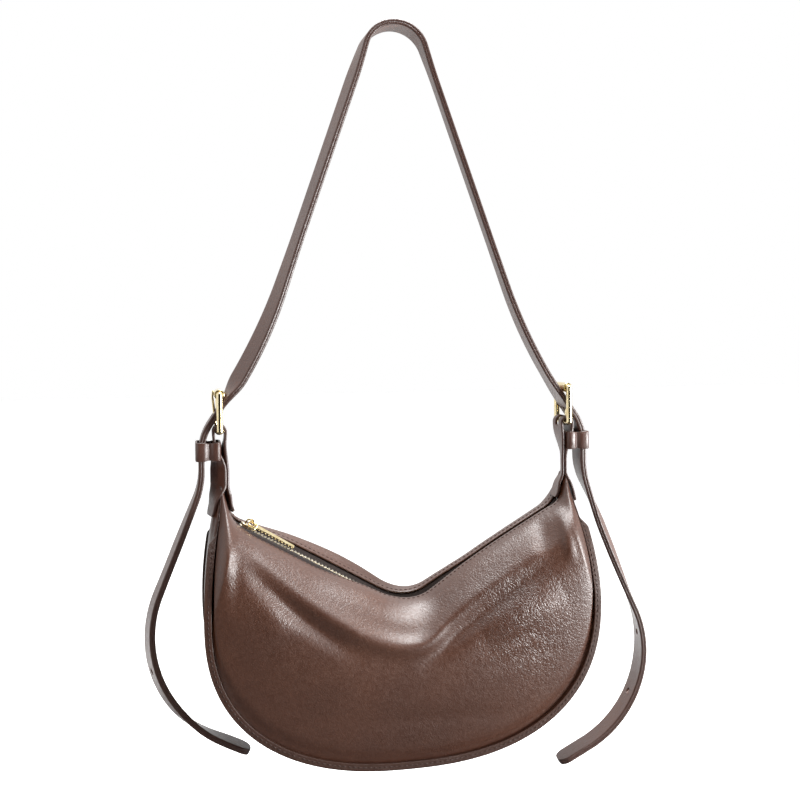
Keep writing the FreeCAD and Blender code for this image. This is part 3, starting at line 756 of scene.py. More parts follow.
@dataclass
class Strap:
    """Shoulder strap of two plies, with its punched holes and free tails. Pairs are left, right."""

    finish: Material
    ply: float = 2.2
    width: float = 20.0
    face_radius: float = 0.9
    glue_radius: float = 0.4
    station: float = 1.25
    hole_radius: float = 2.5
    hole_half: int = 2
    hole_pull: float = 2.5
    tip_radius: float = 7.5
    tails: Pair = (74.0, 108.0)
    leg_twists: Pair = (14.0, 9.0)
    leg_gains: Pair = (12.0, -4.0)
    tail_twists: Pair = (6.0, 26.0)
    tail_gains: Pair = (14.0, -21.0)
    tail_ends: Pair = (-18.0, 0.0)
    steps: int = 3
    cells: int = 16
    holes: Triple = (5.7, 200.0, 250.0)
    upper_moves: tuple[Pair, ...] = (arc(25.0, -70.7), (194.968, 0.0), arc(380.0, 14.7), (6.0, 0.0))

    def path(self, side: Side) -> ArcChain:
        """Middle line of one side, from the crown through the buckle to the tip.

        Args:
            side: side of the bag.

        Returns:
            The path, in across and up.
        """
        hang = (12.0, 0.0), arc(38.0, -34.0), (12.0, 0.0), arc(60.0, 22.0)
        tail = (side.pick(self.tails), 0.0), arc(85.0, -86.0), (26.0, 0.0)
        return ArcChain(0.0, self.ply, 90.0, self.upper_moves + hang + tail)

    @property
    def buckle_run(self) -> float:
        """Distance from the crown to the buckle point."""
        return sum(length for length, turn in self.upper_moves)

    def twist(self, run: Array, side: Side) -> Array:
        """Turn of the strip about its middle line, towards the viewer.

        On the leg it grows by a smooth step from the crown and by another over the lower half, and is
        gone at the buckle. On the tail it grows from the keeper on and changes twice further down.

        Args:
            run: distances from the crown.
            side: side of the bag.

        Returns:
            Angles in radians.
        """
        below = run - self.buckle_run
        leg = side.pick(self.leg_twists) * ease(run, 8.0, 60.0)
        leg = leg + side.pick(self.leg_gains) * ease(below, -150.0, -40.0)
        tail = side.pick(self.tail_twists) * ease(below, 44.0, 110.0)
        tail = tail + side.pick(self.tail_gains) * ease(below, 120.0, 230.0)
        tail = tail + side.pick(self.tail_ends) * ease(below, 230.0, 285.0)
        return np.radians(leg * (1 - ease(below, -28.0, -3.0)) + tail)

    def stations(self) -> Array:
        """Places of the profiles along the strap, closer together at the two tips.

        Returns:
            Signed distances from the crown, left below zero.
        """
        runs = []
        for side in Side:
            total = self.path(side).length
            even = np.arange(self.station / 2, total - 1.0, self.station)
            runs.append(np.concatenate((even, total - np.array((0.9, 0.5, 0.2, 0.0)))))
        return np.concatenate((-runs[0][::-1], runs[1]))

    def surface(self, run: Array, across: Array, out: Array) -> Array:
        """Points of the strap from their place in it.

        The point stands on the middle line at the run, moved by the across share along Y and the out
        share along the line's outer normal, both turned about the line by the twist.

        Args:
            run: signed distances from the crown.
            across: places across the width.
            out: places through the thickness.

        Returns:
            Points of the broadcast shape.
        """
        points = np.zeros((*run.shape, 3))
        for side in Side:
            mine = (run < 0) == (side is Side.LEFT)
            far = np.abs(run[mine])
            x, z, heading = self.path(side).at(far)
            turn = self.twist(far, side)[:, None]
            cosine, sine = np.cos(turn), np.sin(turn)
            normal = flat_points(side.value * np.cos(heading), np.sin(heading))
            faced = normal * cosine - BACK_WAY * sine
            wide = BACK_WAY * cosine + normal * sine
            middle = flat_points(side.value * x, z)
            points[mine] = middle + faced * out[mine][:, None] + wide * across[mine][:, None]
        return points

    def build_ply(self, name: str, low: float, radii: Pair) -> None:
        """One ply: a rounded profile along the path, pinched to round tips and punched.

        Round each hole the grid is drawn onto a circle: on the block's border the points stand on the
        circle itself, and the pull fades to none at two and a half block widths.

        Args:
            name: name of the piece and of its node.
            low: lowest place through the thickness.
            radii: corner radius of the profile at its low and at its high face.
        """
        profile = rounded_ring(self.width / 2, self.ply / 2, radii, self.steps, self.cells)
        runs = self.stations()
        ends = np.where(runs < 0, *(self.path(side).length for side in Side)) - np.abs(runs)
        short = self.tip_radius - np.minimum(ends, self.tip_radius)
        half = self.width / 2 - self.tip_radius + np.sqrt(self.tip_radius ** 2 - short ** 2)
        run, across = np.broadcast_arrays(runs[:, None], profile[:, 0] * (half * 2 / self.width)[:, None])
        run, across = run.copy(), across.copy()
        out = np.broadcast_to(profile[:, 1] + low + self.ply / 2, run.shape)
        cell = (self.width - 2 * self.face_radius) / self.cells
        near, middle = self.hole_half, self.cells // 2
        blocks = []
        for place in (side.value * (self.buckle_run + hole) for side in Side for hole in self.holes):
            centre = int(np.argmin(np.abs(runs - place)))
            ds, dw = run - runs[centre], across
            m = np.maximum(np.abs(ds) / (near * self.station), np.abs(dw) / (near * cell))
            pull = np.clip((self.hole_pull - m) / (self.hole_pull - 1), 0.0, 1.0) * (m > 0.9)
            scale = pull * (self.hole_radius / np.maximum(np.hypot(ds, dw), 1e-9) - 1)
            run, across = run + scale * ds, across + scale * dw
            blocks.append((centre - near, centre + near, middle - near, middle + near))
        places = texture(run, run_along(profile))
        rim = np.abs(profile[:, 0]) > self.width / 2 - self.face_radius * 0.72
        skin = Skin()
        skin.add_ply(self.surface(run, across, out), places, rim * 1.0, self.steps, self.cells, tuple(blocks))
        skin.piece(name, self.finish, "strap_leather", "strap")

    def build(self) -> None:
        """Builds both plies, whose well rounded faces look away from the glue between them."""
        self.build_ply("strap_outer_ply", 0.0, (self.glue_radius, self.face_radius))
        self.build_ply("strap_inner_ply", -self.ply, (self.face_radius, self.glue_radius))


@dataclass
class Buckle:
    """One roller buckle: frame, roller tube and prong."""

    side: Side
    finish: Material
    x: float = 135.0
    top_z: float = -278.886
    low_z: float = -305.486
    bar_radius: float = 2.0
    bar_lap: float = 0.6
    cheek: Pair = (11.0, 15.6)
    cheek_half: float = 2.3
    cheek_bevel: float = 2.15
    roller: Pair = (2.05, 3.85)
    roller_half: float = 10.7
    groove_inset: float = 2.0
    groove_depth: float = 0.25
    knuckle: Pair = (2.08, 3.58)
    knuckle_half: float = 2.3
    rim: float = 0.6
    shank_foot: Pair = (137.08, -305.486)
    shank_top: Pair = (140.0, -278.886)
    shank_half: Pair = (1.0, 1.4)
    tip_run: float = 3.2
    tip_bend: float = 0.9

    def centre(self, z: float) -> Array:
        """Point on the buckle's middle at a height."""
        return np.array((self.side.value * self.x, 0.0, z))

    def turned_ring(self, radii: Pair, half: float) -> Array:
        """Closed profile of a turned ring: a rounded rectangle of (depth, radius)."""
        ring = rounded_ring(half, (radii[1] - radii[0]) / 2, (self.rim, self.rim), 4, 6)
        return ring + np.array((0.0, sum(radii) / 2))

    def build_frame(self) -> None:
        """Frame: two cheeks with round ends and round bars between them.

        A cheek is a plate whose outline is a stadium; a bar is a circle carried along Y.
        """
        skin = Skin()
        half = (self.top_z - self.low_z) / 2 + self.cheek_half
        corner = self.cheek_half - 0.01
        outline = rounded_ring(self.cheek_half, half, (corner, corner), 8, 2)
        axes = np.array(((1.0, 0, 0), (0, 0, 1.0), (0, 1.0, 0)))
        for face in Face:
            low, high = sorted(face.value * place for place in self.cheek)
            middle = self.centre((self.top_z + self.low_z) / 2)
            skin.add_plate(outline, low, high, self.cheek_bevel, middle, axes)
        angle = full_turn(32)
        reach = self.cheek[0] + self.bar_lap
        depth = np.linspace(-reach, reach, 12)[:, None]
        for z in (self.top_z, self.low_z):
            circle = flat_points(self.bar_radius * np.cos(angle), self.bar_radius * np.sin(angle), depth)
            skin.add_tube(circle + self.centre(z))
        skin.piece(f"{self.side.label}_buckle_frame", self.finish, "gold_metal", "strap", Edge.CRISP)

    def build_roller(self) -> None:
        """Roller: a turned tube with rounded ends and a fine groove near each of them."""
        profile = self.turned_ring(self.roller, self.roller_half)
        groove = bell(np.abs(profile[:, 0]) - self.roller_half + self.groove_inset, 0.35)
        profile[:, 1] -= self.groove_depth * groove * (profile[:, 1] > sum(self.roller) / 2)
        skin = Skin()
        skin.add_lathe(profile, self.centre(self.top_z), 56)
        label = self.side.label
        skin.piece(f"{label}_buckle_roller", self.finish, "gold_metal", f"{label}_roller", Edge.CRISP)

    def build_prong(self) -> None:
        """Prong: a ring on the low bar and a shank that runs up over the roller.

        The shank is an ellipse-like section on a straight line; it tapers over its last third, and its
        tip bends in over the roller by a smooth step.
        """
        skin = Skin()
        skin.add_lathe(self.turned_ring(self.knuckle, self.knuckle_half), self.centre(self.low_z), 40)
        share = np.concatenate((np.linspace(0, 0.94, 28), (0.97, 0.985, 0.995, 1.0)))
        foot, top = np.array(self.shank_foot), np.array(self.shank_top)
        way = unit(top - foot)
        line = foot + (top + way * self.tip_run - foot) * share[:, None]
        line[:, 0] -= self.tip_bend * ease(share, 0.8, 1.0)
        taper = 1 - 0.25 * ease(share, 0.6, 0.95)
        taper = (taper * np.sqrt(np.clip((1.0 - share) / 0.06 + 0.02, 0, 1)))[:, None]
        circle = np.stack((np.cos(full_turn(24)), np.sin(full_turn(24))))
        thick, wide = np.sign(circle) * np.abs(circle) ** 0.7
        x = line[:, :1] + self.shank_half[0] * taper * thick * way[1]
        z = line[:, 1:] - self.shank_half[0] * taper * thick * way[0]
        skin.add_tube(flat_points(self.side.value * x, z, self.shank_half[1] * taper * wide))
        label = self.side.label
        skin.piece(f"{label}_buckle_prong", self.finish, "gold_metal", f"{label}_prong", Edge.CRISP)

    def build(self) -> None:
        """Builds the frame, the roller and the prong."""
        self.build_frame()
        self.build_roller()
        self.build_prong()


@dataclass(frozen=True)
class BodyForm:
    """Lines that the body is built on: the seam's outline, the zip's path and the depth."""

    half_width: float = 143.0
    belly_z: float = -436.986
    bowl_depth: float = 110.6
    shoulder_height: float = 80.0
    shoulder_inset: float = 9.5
    roundness: float = 2.4
    half_depth: float = 40.0
    depth_loss: float = 29.5
    front_left: float = 4.2
    front_right: float = 2.0
    back_left: float = 3.4
    dip_shift: float = 5.5
    dip_sag: float = 3.6
    dip_reach: float = 44.0
    zip_path: ArcChain = ArcChain(133.5, -356.986, -15.0, (
        (6.0, 0.0), arc(22.0, -45.75), (113.993, 0.0), arc(45.0, -29.25)))
    zip_knots: tuple[int, ...] = (1, 3, 5, 3)

    def zip_at(self, distance: Array) -> tuple[Array, Array, Array]:
        """Points, directions and upward normals of the zip, whose dip sags a little to the right.

        Args:
            distance: distances from its left end.

        Returns:
            Points, directions from left to right, and normals.
        """
        half = self.zip_path.length
        side = np.where(distance <= half, -1.0, 1.0)
        across, up, heading = self.zip_path.at(np.clip(np.minimum(distance, 2 * half - distance), 0.0, half))
        way = flat_points(-np.sin(heading), side * np.cos(heading))
        normal = flat_points(-side * np.cos(heading), -np.sin(heading))
        sag = bell(across, self.dip_reach)
        return flat_points(side * across + self.dip_shift * sag, up - self.dip_sag * sag), way, normal

    def hem_shift(self, distance: Array, face: Face) -> Array:
        """How far a hem stands above its plain place over the zip.

        The mouth leans to the viewer on the left of the dip, where the front hem hangs low and the back
        hem stands high. On the right the front hem stands a little high. Each is a smooth step along the
        zip that fades out again.

        Args:
            distance: distances from the zip's left end.
            face: front or back hem.

        Returns:
            Shifts in millimetres.
        """
        if face is Face.BACK:
            return self.back_left * plateau(distance, (20.0, 70.0), (176.0, 230.0))
        whole = 2 * self.zip_path.length
        left = plateau(distance, (8.0, 40.0), (84.0, 128.0))
        right = plateau(distance, (112.0, 156.0), (whole - 30.0, whole - 4.0))
        return self.front_right * right - self.front_left * left

    def seam_table(self) -> tuple[Array, Array, Array]:
        """One half of the seam as a fine table.

        Below the widest line it is a super-ellipse, x = w sin(a)^(2/n), drop = d cos(a)^(2/n). Above it
        the outline draws in with the square of the rise.

        Returns:
            Distances from the bottom's middle, with across and up at each.
        """
        angle = np.linspace(0, math.pi / 2, 1500)
        rise = np.linspace(0, 1, 700)[1:]
        power = 2 / self.roundness
        x = np.concatenate((self.half_width * np.sin(angle) ** power,
                            self.half_width - self.shoulder_inset * rise ** 2))
        z = np.concatenate((self.belly_z - self.bowl_depth * np.clip(np.cos(angle), 0, 1) ** power,
                            self.belly_z + self.shoulder_height * rise))
        return run_along(np.stack((x, z), axis=-1)), x, z

    @property
    def seam_half(self) -> float:
        """Length of the seam from the bottom's middle to an ear."""
        return float(self.seam_table()[0][-1])

    def seam_at(self, share: Array) -> tuple[Array, Array]:
        """Points and outward normals of the seam.

        A normal is at a right angle to the chord from 2 mm before the point to 2 mm after it.

        Args:
            share: places from -1 at the left ear through 0 at the bottom to 1 at the right ear.

        Returns:
            Points and normals in the plane of the outline.
        """
        run, x, z = self.seam_table()
        side = np.where(share < 0, -1.0, 1.0)
        far = np.abs(share) * run[-1]
        spots = np.stack((far, far - 2.0, np.minimum(far + 2.0, run[-1])))
        across = np.sign(spots) * np.interp(np.abs(spots), run, x)
        up = np.interp(np.abs(spots), run, z)
        normal = unit(flat_points(side * (up[2] - up[1]), across[1] - across[2]))
        return flat_points(side * across[0], up[0]), normal

    def depth_at(self, up: Array) -> Array:
        """Half depth at the seam: full up to the widest line, then less with the rise to the power 1.5."""
        rise = np.clip((up - self.belly_z) / self.shoulder_height, 0.0, 1.0)
        return self.half_depth - self.depth_loss * rise ** 1.5

    def hem_share(self, seam_share: Array) -> Array:
        """Place along the hem that a place along the seam is joined to, smoothed between its knots.

        The knots stand evenly along the seam. Past both ends the table runs on at a slope of 0.3, so that
        the smoothing, a weighted mean of the neighbours, finds values there.

        Args:
            seam_share: places along the seam from -1 to 1.

        Returns:
            Places along the hem from -1 to 1.
        """
        lengths = np.array([length for length, turn in self.zip_path.moves])
        steps = np.repeat(lengths / self.zip_knots, self.zip_knots)
        half = np.concatenate(([0.0], np.cumsum(steps))) / self.zip_path.length - 1
        knots = np.concatenate((half, -half[-2::-1]))
        fine = np.linspace(-1.4, 1.4, 1401)
        held = np.clip(fine, -1, 1)
        raw = np.interp(held, np.linspace(-1, 1, len(knots)), knots) + (fine - held) * 0.3
        window = np.hanning(121)
        smooth = np.convolve(raw, window / window.sum(), mode="same")
        low, high = np.interp((-1.0, 1.0), fine, smooth)
        return (np.interp(seam_share, fine, smooth) - low) / (high - low) * 2 - 1


@dataclass(frozen=True)
class Fold:
    """A valley or ridge in a leather panel: a line in X and Z, its height and its reach to each side."""

    line: tuple[Pair, ...]
    height: float
    reach: float

    def lift(self, points: Array) -> Array:
        """Height of the fold at points: a bell of the distance to the line, which fades at its ends.

        The line's corners are cut at a quarter of each side, three times over, so that it bends smoothly.

        Args:
            points: points (..., 3).

        Returns:
            Heights, positive outward.
        """
        knots = np.array(self.line)
        for _ in range(3):
            quarter = np.diff(knots, axis=0) / 4
            cuts = np.stack((knots[:-1] + quarter, knots[1:] - quarter), axis=1)
            knots = np.concatenate((knots[:1], cuts.reshape(-1, 2), knots[-1:]))
        marks = run_along(knots)
        flat = points[..., (0, 2)]
        nearest = np.full(flat.shape[:-1], np.inf)
        along = np.zeros(flat.shape[:-1])
        for start, end, length, mark in zip(knots, knots[1:], np.diff(marks), marks):
            way = (end - start) / length
            run = np.clip((flat - start) @ way, 0.0, length)
            gap = np.linalg.norm(flat - start - run[..., None] * way, axis=-1)
            along = np.where(gap < nearest, mark + run, along)
            nearest = np.minimum(nearest, gap)
        fade = np.clip(np.sin(math.pi * along / marks[-1]), 0.0, 1.0) ** 1.1
        return self.height * bell(nearest, self.reach) * fade


FRONT_FOLDS = (
    Fold(((-124.0, -378.0), (-104.0, -404.0), (-82.0, -423.0), (-52.0, -444.0), (-25.0, -459.0),
          (-2.0, -465.0), (14.0, -461.5), (28.0, -448.5), (46.0, -434.5), (77.0, -416.0), (98.0, -402.0),
          (120.0, -390.0)), 4.4, 6.5),
    Fold(((-126.0, -389.0), (-98.0, -420.0), (-76.0, -440.0), (-52.0, -458.0), (-32.0, -470.0)), -3.4, 6.5),
    Fold(((2.0, -480.0), (18.0, -470.0), (36.0, -456.0), (57.0, -441.0), (88.0, -421.0),
          (121.0, -403.0)), -3.6, 6.5),
    Fold(((-112.0, -412.0), (-102.0, -432.0), (-90.0, -456.0)), 1.4, 10.0),
    Fold(((56.0, -462.0), (88.0, -444.0), (118.0, -432.0)), 3.4, 12.0),
    Fold(((122.0, -366.0), (122.0, -386.0), (124.0, -412.0)), 2.2, 4.5),
    Fold(((110.0, -376.0), (106.0, -392.0), (100.0, -404.0)), -2.0, 6.0),
    Fold(((-128.0, -372.0), (-124.0, -396.0), (-126.0, -436.0)), -1.2, 5.0),
    Fold(((-80.0, -508.0), (0.0, -516.0), (118.0, -520.0)), -0.8, 7.0),
    Fold(((40.0, -476.0), (76.0, -461.0), (104.0, -455.0)), -0.9, 4.0),
    Fold(((52.0, -488.0), (86.0, -474.0), (118.0, -470.0)), -0.7, 4.0),
)
BACK_FOLDS = (
    Fold(((-120.0, -377.0), (-84.0, -398.0), (-40.0, -422.0), (0.0, -437.0), (24.0, -430.0)), 3.4, 8.0),
    Fold(((-112.0, -398.0), (-62.0, -431.0), (-4.0, -458.0), (58.0, -430.0), (112.0, -398.0)), -2.8, 8.0),
    Fold(((-122.0, -380.0), (-116.0, -404.0), (-120.0, -430.0)), -1.1, 5.0),
    Fold(((122.0, -380.0), (117.0, -406.0), (122.0, -436.0)), -1.1, 5.0),
    Fold(((-84.0, -518.0), (0.0, -524.0), (70.0, -520.0)), -0.7, 6.0),
)


@dataclass
class BagBody:
    """Leather body: two panels, the gusset, the raised seams, the lining and the sewing."""

    leather: Material
    cloth: Material
    thread: Material
    form: BodyForm = field(default_factory=BodyForm)
    thickness: float = 1.8
    clearance: float = 0.1
    hem_top: float = 2.6
    hem_gap: float = 6.5
    bulge: float = 10.0
    sink: float = 2.6
    back_roll: float = 6.0
    roll_row: Pair = (0.12, 0.075)
    roll_x: Pair = (-44.0, 48.0)
    tongue_x: float = 134.8
    tongue_rise: float = 9.5
    tongue_start: float = 0.945
    tongue_pull: float = 0.6
    tongue_squeeze: float = 0.4
    shoulder_power: float = 0.8
    gusset_lift: float = 2.0
    gusset_bulge: float = 2.4
    gusset_pleat: float = 1.1
    welt_half: float = 2.1
    welt_reach: float = 5.2
    welt_end: float = 0.5
    welt_taper: Pair = (21.0, 31.0)
    welt_groove: float = 1.1
    columns: int = 300
    rows: int = 120
    crinkles: tuple[tuple[float, Pair, float], ...] = (
        (0.75, (88.0, -444.0), 42.0), (0.25, (-104.0, -420.0), 26.0))
    lining_depths: Pair = (2.3, 3.1)
    stitch_pitch: float = 3.8
    stitch_length: float = 2.7
    stitch_radius: float = 0.38
    hem_stitch_run: float = 3.4
    welt_stitch_share: float = 0.42

    def panel(self, share: Array, row: Array, face: Face) -> Array:
        """Points of a panel's outer face before its folds.

        From the hem the sheet first runs outward, then down: with the angle a from 0 to a right angle
        the outward share is sin(a)^p and the downward share 1 - cos(a)^p. The belly adds a half sine.

        Args:
            share: places along the seam from -1 to 1.
            row: places from 0 at the hem to 1 at the seam.
            face: front or back.

        Returns:
            Points of the same shape.
        """
        form = self.form
        distance = form.zip_path.length * (1 + form.hem_share(share))
        hem, _, normal = form.zip_at(distance)
        hem = hem + normal * (self.hem_top + form.hem_shift(distance, face))[..., None]
        seam, outward = form.seam_at(share)
        seam = seam - outward * self.clearance
        seam_depth = form.depth_at(seam[..., 2]) + self.clearance + self.thickness
        angle = math.pi / 2 * row
        out = np.sin(angle) ** self.shoulder_power
        down = 1 - np.clip(np.cos(angle), 0.0, 1.0) ** self.shoulder_power
        points = hem + (seam - hem) * down[..., None]
        belly = self.bulge * (1 - np.abs(share) ** 3) * np.sin(math.pi * row)
        points[..., 1] = face.value * (self.hem_gap + (seam_depth - self.hem_gap) * out + belly)
        return self.drawn_up(points, share)

    def drawn_up(self, points: Array, share: Array) -> Array:
        """Points near an ear drawn up into the tongue that the tab is sewn round.

        By a smooth step over the last of the seam the points rise, close in on the tab's middle line and
        narrow in depth.

        Args:
            points: points of a sheet.
            share: places along the seam from -1 to 1.

        Returns:
            The moved points.
        """
        pull = ease(np.abs(share), self.tongue_start, 1.0)
        x, y, z = np.moveaxis(points, -1, 0)
        x = x + self.tongue_pull * pull * (np.sign(share) * self.tongue_x - x)
        return flat_points(x, z + self.tongue_rise * pull, y * (1 - self.tongue_squeeze * pull))

    def normals(self, points: Array, face: Face) -> Array:
        """Outward normals of a grid, from the cross product of its two differences.

        Args:
            points: grid of points.
            face: front or back, which gives the sign.

        Returns:
            Normals of the same shape.
        """
        normal = unit(np.cross(np.gradient(points, axis=0), np.gradient(points, axis=1)))
        sign = np.sign(normal[normal.shape[0] // 2, normal.shape[1] // 2, 1]) * face.value
        return normal * sign

    def dressed_panel(self, face: Face) -> tuple[Array, Array]:
        """Outer face of a panel with its folds, and its normals.

        Each fold lifts the sheet along its normal. Folds fade out at the hem and at the seam, where the
        sheet sinks behind the raised edge. Behind the zip the back panel rolls up, left of the dip.

        Args:
            face: front or back.

        Returns:
            Points and normals (columns, rows, 3).
        """
        even = np.linspace(0, 1, self.rows)
        row = (1 - np.cos(math.pi * even)) / 2 * 0.6 + even * 0.4
        share, row = np.meshgrid(np.linspace(-1, 1, self.columns), row, indexing="ij")
        points = self.panel(share, row, face)
        lift = sum(fold.lift(points) for fold in (FRONT_FOLDS if face is Face.FRONT else BACK_FOLDS))
        if face is Face.BACK:
            (row_at, row_reach), (x_at, x_reach) = self.roll_row, self.roll_x
            rolled = bell(row - row_at, row_reach) * bell(points[..., 0] - x_at, x_reach)
            points[..., 2] += self.back_roll * rolled
        ear = 1 - np.abs(share)
        fade = ease(row, 0.02, 0.16) * ease(1 - row, 0.0, 0.12) * ease(ear, 0.0, 0.06)
        sunk = self.sink * bell(1 - row, 0.020) * ease(ear, 0.03, 0.12)
        points = points + self.normals(points, face) * (lift * fade - sunk)[..., None]
        return points, self.normals(points, face)

    def build_panel(self, face: Face) -> tuple[Array, Array]:
        """One panel as a sheet with a rolled hem, and with the share of crinkles at each of its points.

        Args:
            face: front or back.

        Returns:
            Points and normals of its outer face, for the lining and the sewing.
        """
        points, normal = self.dressed_panel(face)
        flat = points[..., (0, 2)]
        skin = Skin()
        skin.add_shell(points, points - normal * self.thickness, 0.8, flat)
        mesh = skin.piece(f"{face.label}_panel", self.leather, "body_leather", "bag").data
        worked = sum(share * bell(np.linalg.norm(flat - np.array(middle), axis=-1), reach)
                     for share, middle, reach in self.crinkles)
        shares = np.resize(worked.astype(np.float32), len(mesh.vertices))
        mesh.attributes.new("crinkle", "FLOAT", "POINT").data.foreach_set("value", shares)
        return points, normal

    def gusset_grid(self, share: Array, row: Array, depth: float) -> Array:
        """Points of the gusset at a depth under its outer face.

        The strip bows outward with 1 - row^2, and near the ears two soft pleats run along it, as a cosine
        across that fades away from the ear.

        Args:
            share: places along the seam from -1 to 1.
            row: places across from -1 at the front to 1 at the back.
            depth: depth under the outer face.

        Returns:
            Points of the same shape.
        """
        seam, outward = self.form.seam_at(share)
        half = self.form.depth_at(seam[..., 2]) - self.welt_half - self.clearance
        pleat = self.gusset_pleat * np.cos(2 * math.pi * row) * bell(1 - np.abs(share), 0.12)
        bow = self.gusset_lift + (self.gusset_bulge - pleat) * (1 - row ** 2) - depth
        points = seam + outward * bow[..., None] + BACK_WAY * (row * half)[..., None]
        return self.drawn_up(points, share)

    def gusset_sheet(self, ends: Pair, counts: tuple[int, int], depths: Pair, rim: float) -> Skin:
        """Sheet along the gusset.

        Args:
            ends: how far it goes along the seam and across, where 1 is the whole gusset.
            counts: points along and across.
            depths: depths of its two faces under the gusset's outer face.
            rim: how far its rounded rim stands out.

        Returns:
            The sheet as a skin.
        """
        lines = (np.linspace(-end, end, count) for end, count in zip(ends, counts))
        share, row = np.meshgrid(*lines, indexing="ij")
        outer, inner = (self.gusset_grid(share, row, depth) for depth in depths)
        skin = Skin()
        skin.add_shell(outer, inner, rim, texture(share * self.form.seam_half, outer[..., 1]))
        return skin

    def welt_reach_at(self, share: Array) -> Array:
        """Reach of the raised seam: full, with a smooth step down to a thin join near the ears."""
        full = ease((1 - np.abs(share)) * self.form.seam_half, *self.welt_taper)
        return self.welt_end + (self.welt_reach - self.welt_end) * full

    def build_welt(self, face: Face) -> None:
        """Raised seam: two plies edge to edge, with a groove between them along the rim.

        The profile is a rounded rectangle of the welt's thickness and reach. Its rim dips by a narrow bell at
        the middle. The whole welt takes half of the dark edge colour: on the rim it is edge paint, on the
        faces it is painted shade. The groove at the rim's middle takes all of it, as painted shade there.

        Args:
            face: front or back.
        """
        share = np.linspace(-1, 1, 420)
        seam, outward = self.form.seam_at(share)
        across, out = rounded_ring(self.welt_half, 0.5, (0.12, 0.16), 4, 12).T
        top = out > 0.3
        reach = (out + 0.5) * self.welt_reach_at(share)[:, None] - self.welt_groove * bell(across, 0.34) * top
        points = seam[:, None] + outward[:, None] * reach[..., None]
        points[..., 1] = face.value * self.form.depth_at(seam[:, 2])[:, None] + across
        points = self.drawn_up(points, share[:, None])
        places = texture(share[:, None] * self.form.seam_half, across)
        skin = Skin()
        # Half of the dark edge colour everywhere, a painted shade on the faces, and all of it in the rim's
        # groove, a painted shade.
        skin.add_tube(points, places, 0.5 + 0.5 * bell(across, 0.5) * top)
        skin.piece(f"{face.label}_seam_welt", self.leather, "body_leather", "bag")

    def build_lining(self, face: Face, points: Array, normal: Array) -> None:
        """Cloth inside one panel, behind all but its margins.

        Args:
            face: front or back.
            points: outer face of the panel.
            normal: normals of the outer face.
        """
        inside = np.s_[self.columns // 8:-self.columns // 8:3, self.rows // 4:-self.rows // 12:3]
        points, normal = points[inside], normal[inside]
        outer, inner = (points - normal * depth for depth in self.lining_depths)
        skin = Skin()
        skin.add_shell(outer, inner, 0.2, points[..., (0, 2)])
        skin.piece(f"{face.label}_lining", self.cloth, "lining_cloth", "bag")

    def build_stitches(self, name: str, line: Array, normal: Array) -> None:
        """Row of stitches along a line on a surface.

        Each stitch is a capsule of eight-sided rings whose radius follows a half ellipse, sunk by half
        into the leather, with its ends a little deeper than its middle.

        Args:
            name: name of the piece.
            line: points along the seam line, close together.
            normal: outward normals at these points.
        """
        run = run_along(line)
        starts = np.arange(self.stitch_pitch, run[-1] - self.stitch_pitch, self.stitch_pitch)
        share = np.array((0.0, 0.12, 0.35, 0.65, 0.88, 1.0))
        radius = (np.array((0.25, 0.72, 1.0, 1.0, 0.72, 0.25)) * self.stitch_radius)[:, None, None]
        at = starts[:, None] + share * self.stitch_length
        spot, up = (np.stack([np.interp(at, run, grid[:, k]) for k in range(3)], axis=-1)
                    for grid in (line, normal))
        up = unit(up)
        beside = np.cross(unit(np.gradient(spot, axis=1)), up)[:, :, None]
        middle = (spot + up * (0.10 - 0.30 * (2 * share - 1) ** 4)[:, None])[:, :, None]
        angle = full_turn(8)[:, None]
        skin = Skin()
        for rings in middle + radius * (np.cos(angle) * beside + np.sin(angle) * up[:, :, None]):
            skin.add_tube(rings)
        skin.piece(name, self.thread, "body_leather", "bag", own_node=False)

    def build_sewing(self, face: Face, points: Array, normal: Array) -> None:
        """Stitch rows of one face: one below the hem and one along the raised seam.

        Args:
            face: front or back.
            points: outer face of the panel.
            normal: normals of the outer face.
        """
        run = np.cumsum(np.linalg.norm(np.diff(points, axis=1, prepend=points[:, :1]), axis=-1), axis=1)
        row = np.argmin(np.abs(run - self.hem_stitch_run), axis=1)[8:-8]
        column = np.arange(len(points))[8:-8]
        self.build_stitches(f"{face.label}_hem_stitches", points[column, row], normal[column, row])
        share = np.linspace(-0.97, 0.97, 900)
        seam, outward = self.form.seam_at(share)
        line = seam + outward * (self.welt_reach_at(share) * self.welt_stitch_share)[:, None]
        line[:, 1] = face.value * (self.form.depth_at(seam[:, 2]) + self.welt_half)
        away = np.broadcast_to(BACK_WAY * face.value, line.shape)
        self.build_stitches(f"{face.label}_seam_stitches", line, away)

    def build(self) -> None:
        """Builds the body."""
        panels = {face: self.build_panel(face) for face in Face}
        gusset = self.gusset_sheet((1.0, 1.0), (360, 33), (0.0, self.thickness), 0.4)
        gusset.piece("gusset", self.leather, "body_leather", "bag")
        for face in Face:
            self.build_welt(face)
        for face, grids in panels.items():
            self.build_lining(face, *grids)
        lining = self.gusset_sheet((0.75, 0.9), (160, 17), (2.2, 3.0), 0.2)
        lining.piece("gusset_lining", self.cloth, "lining_cloth", "bag")
        for face, grids in panels.items():
            self.build_sewing(face, *grids)


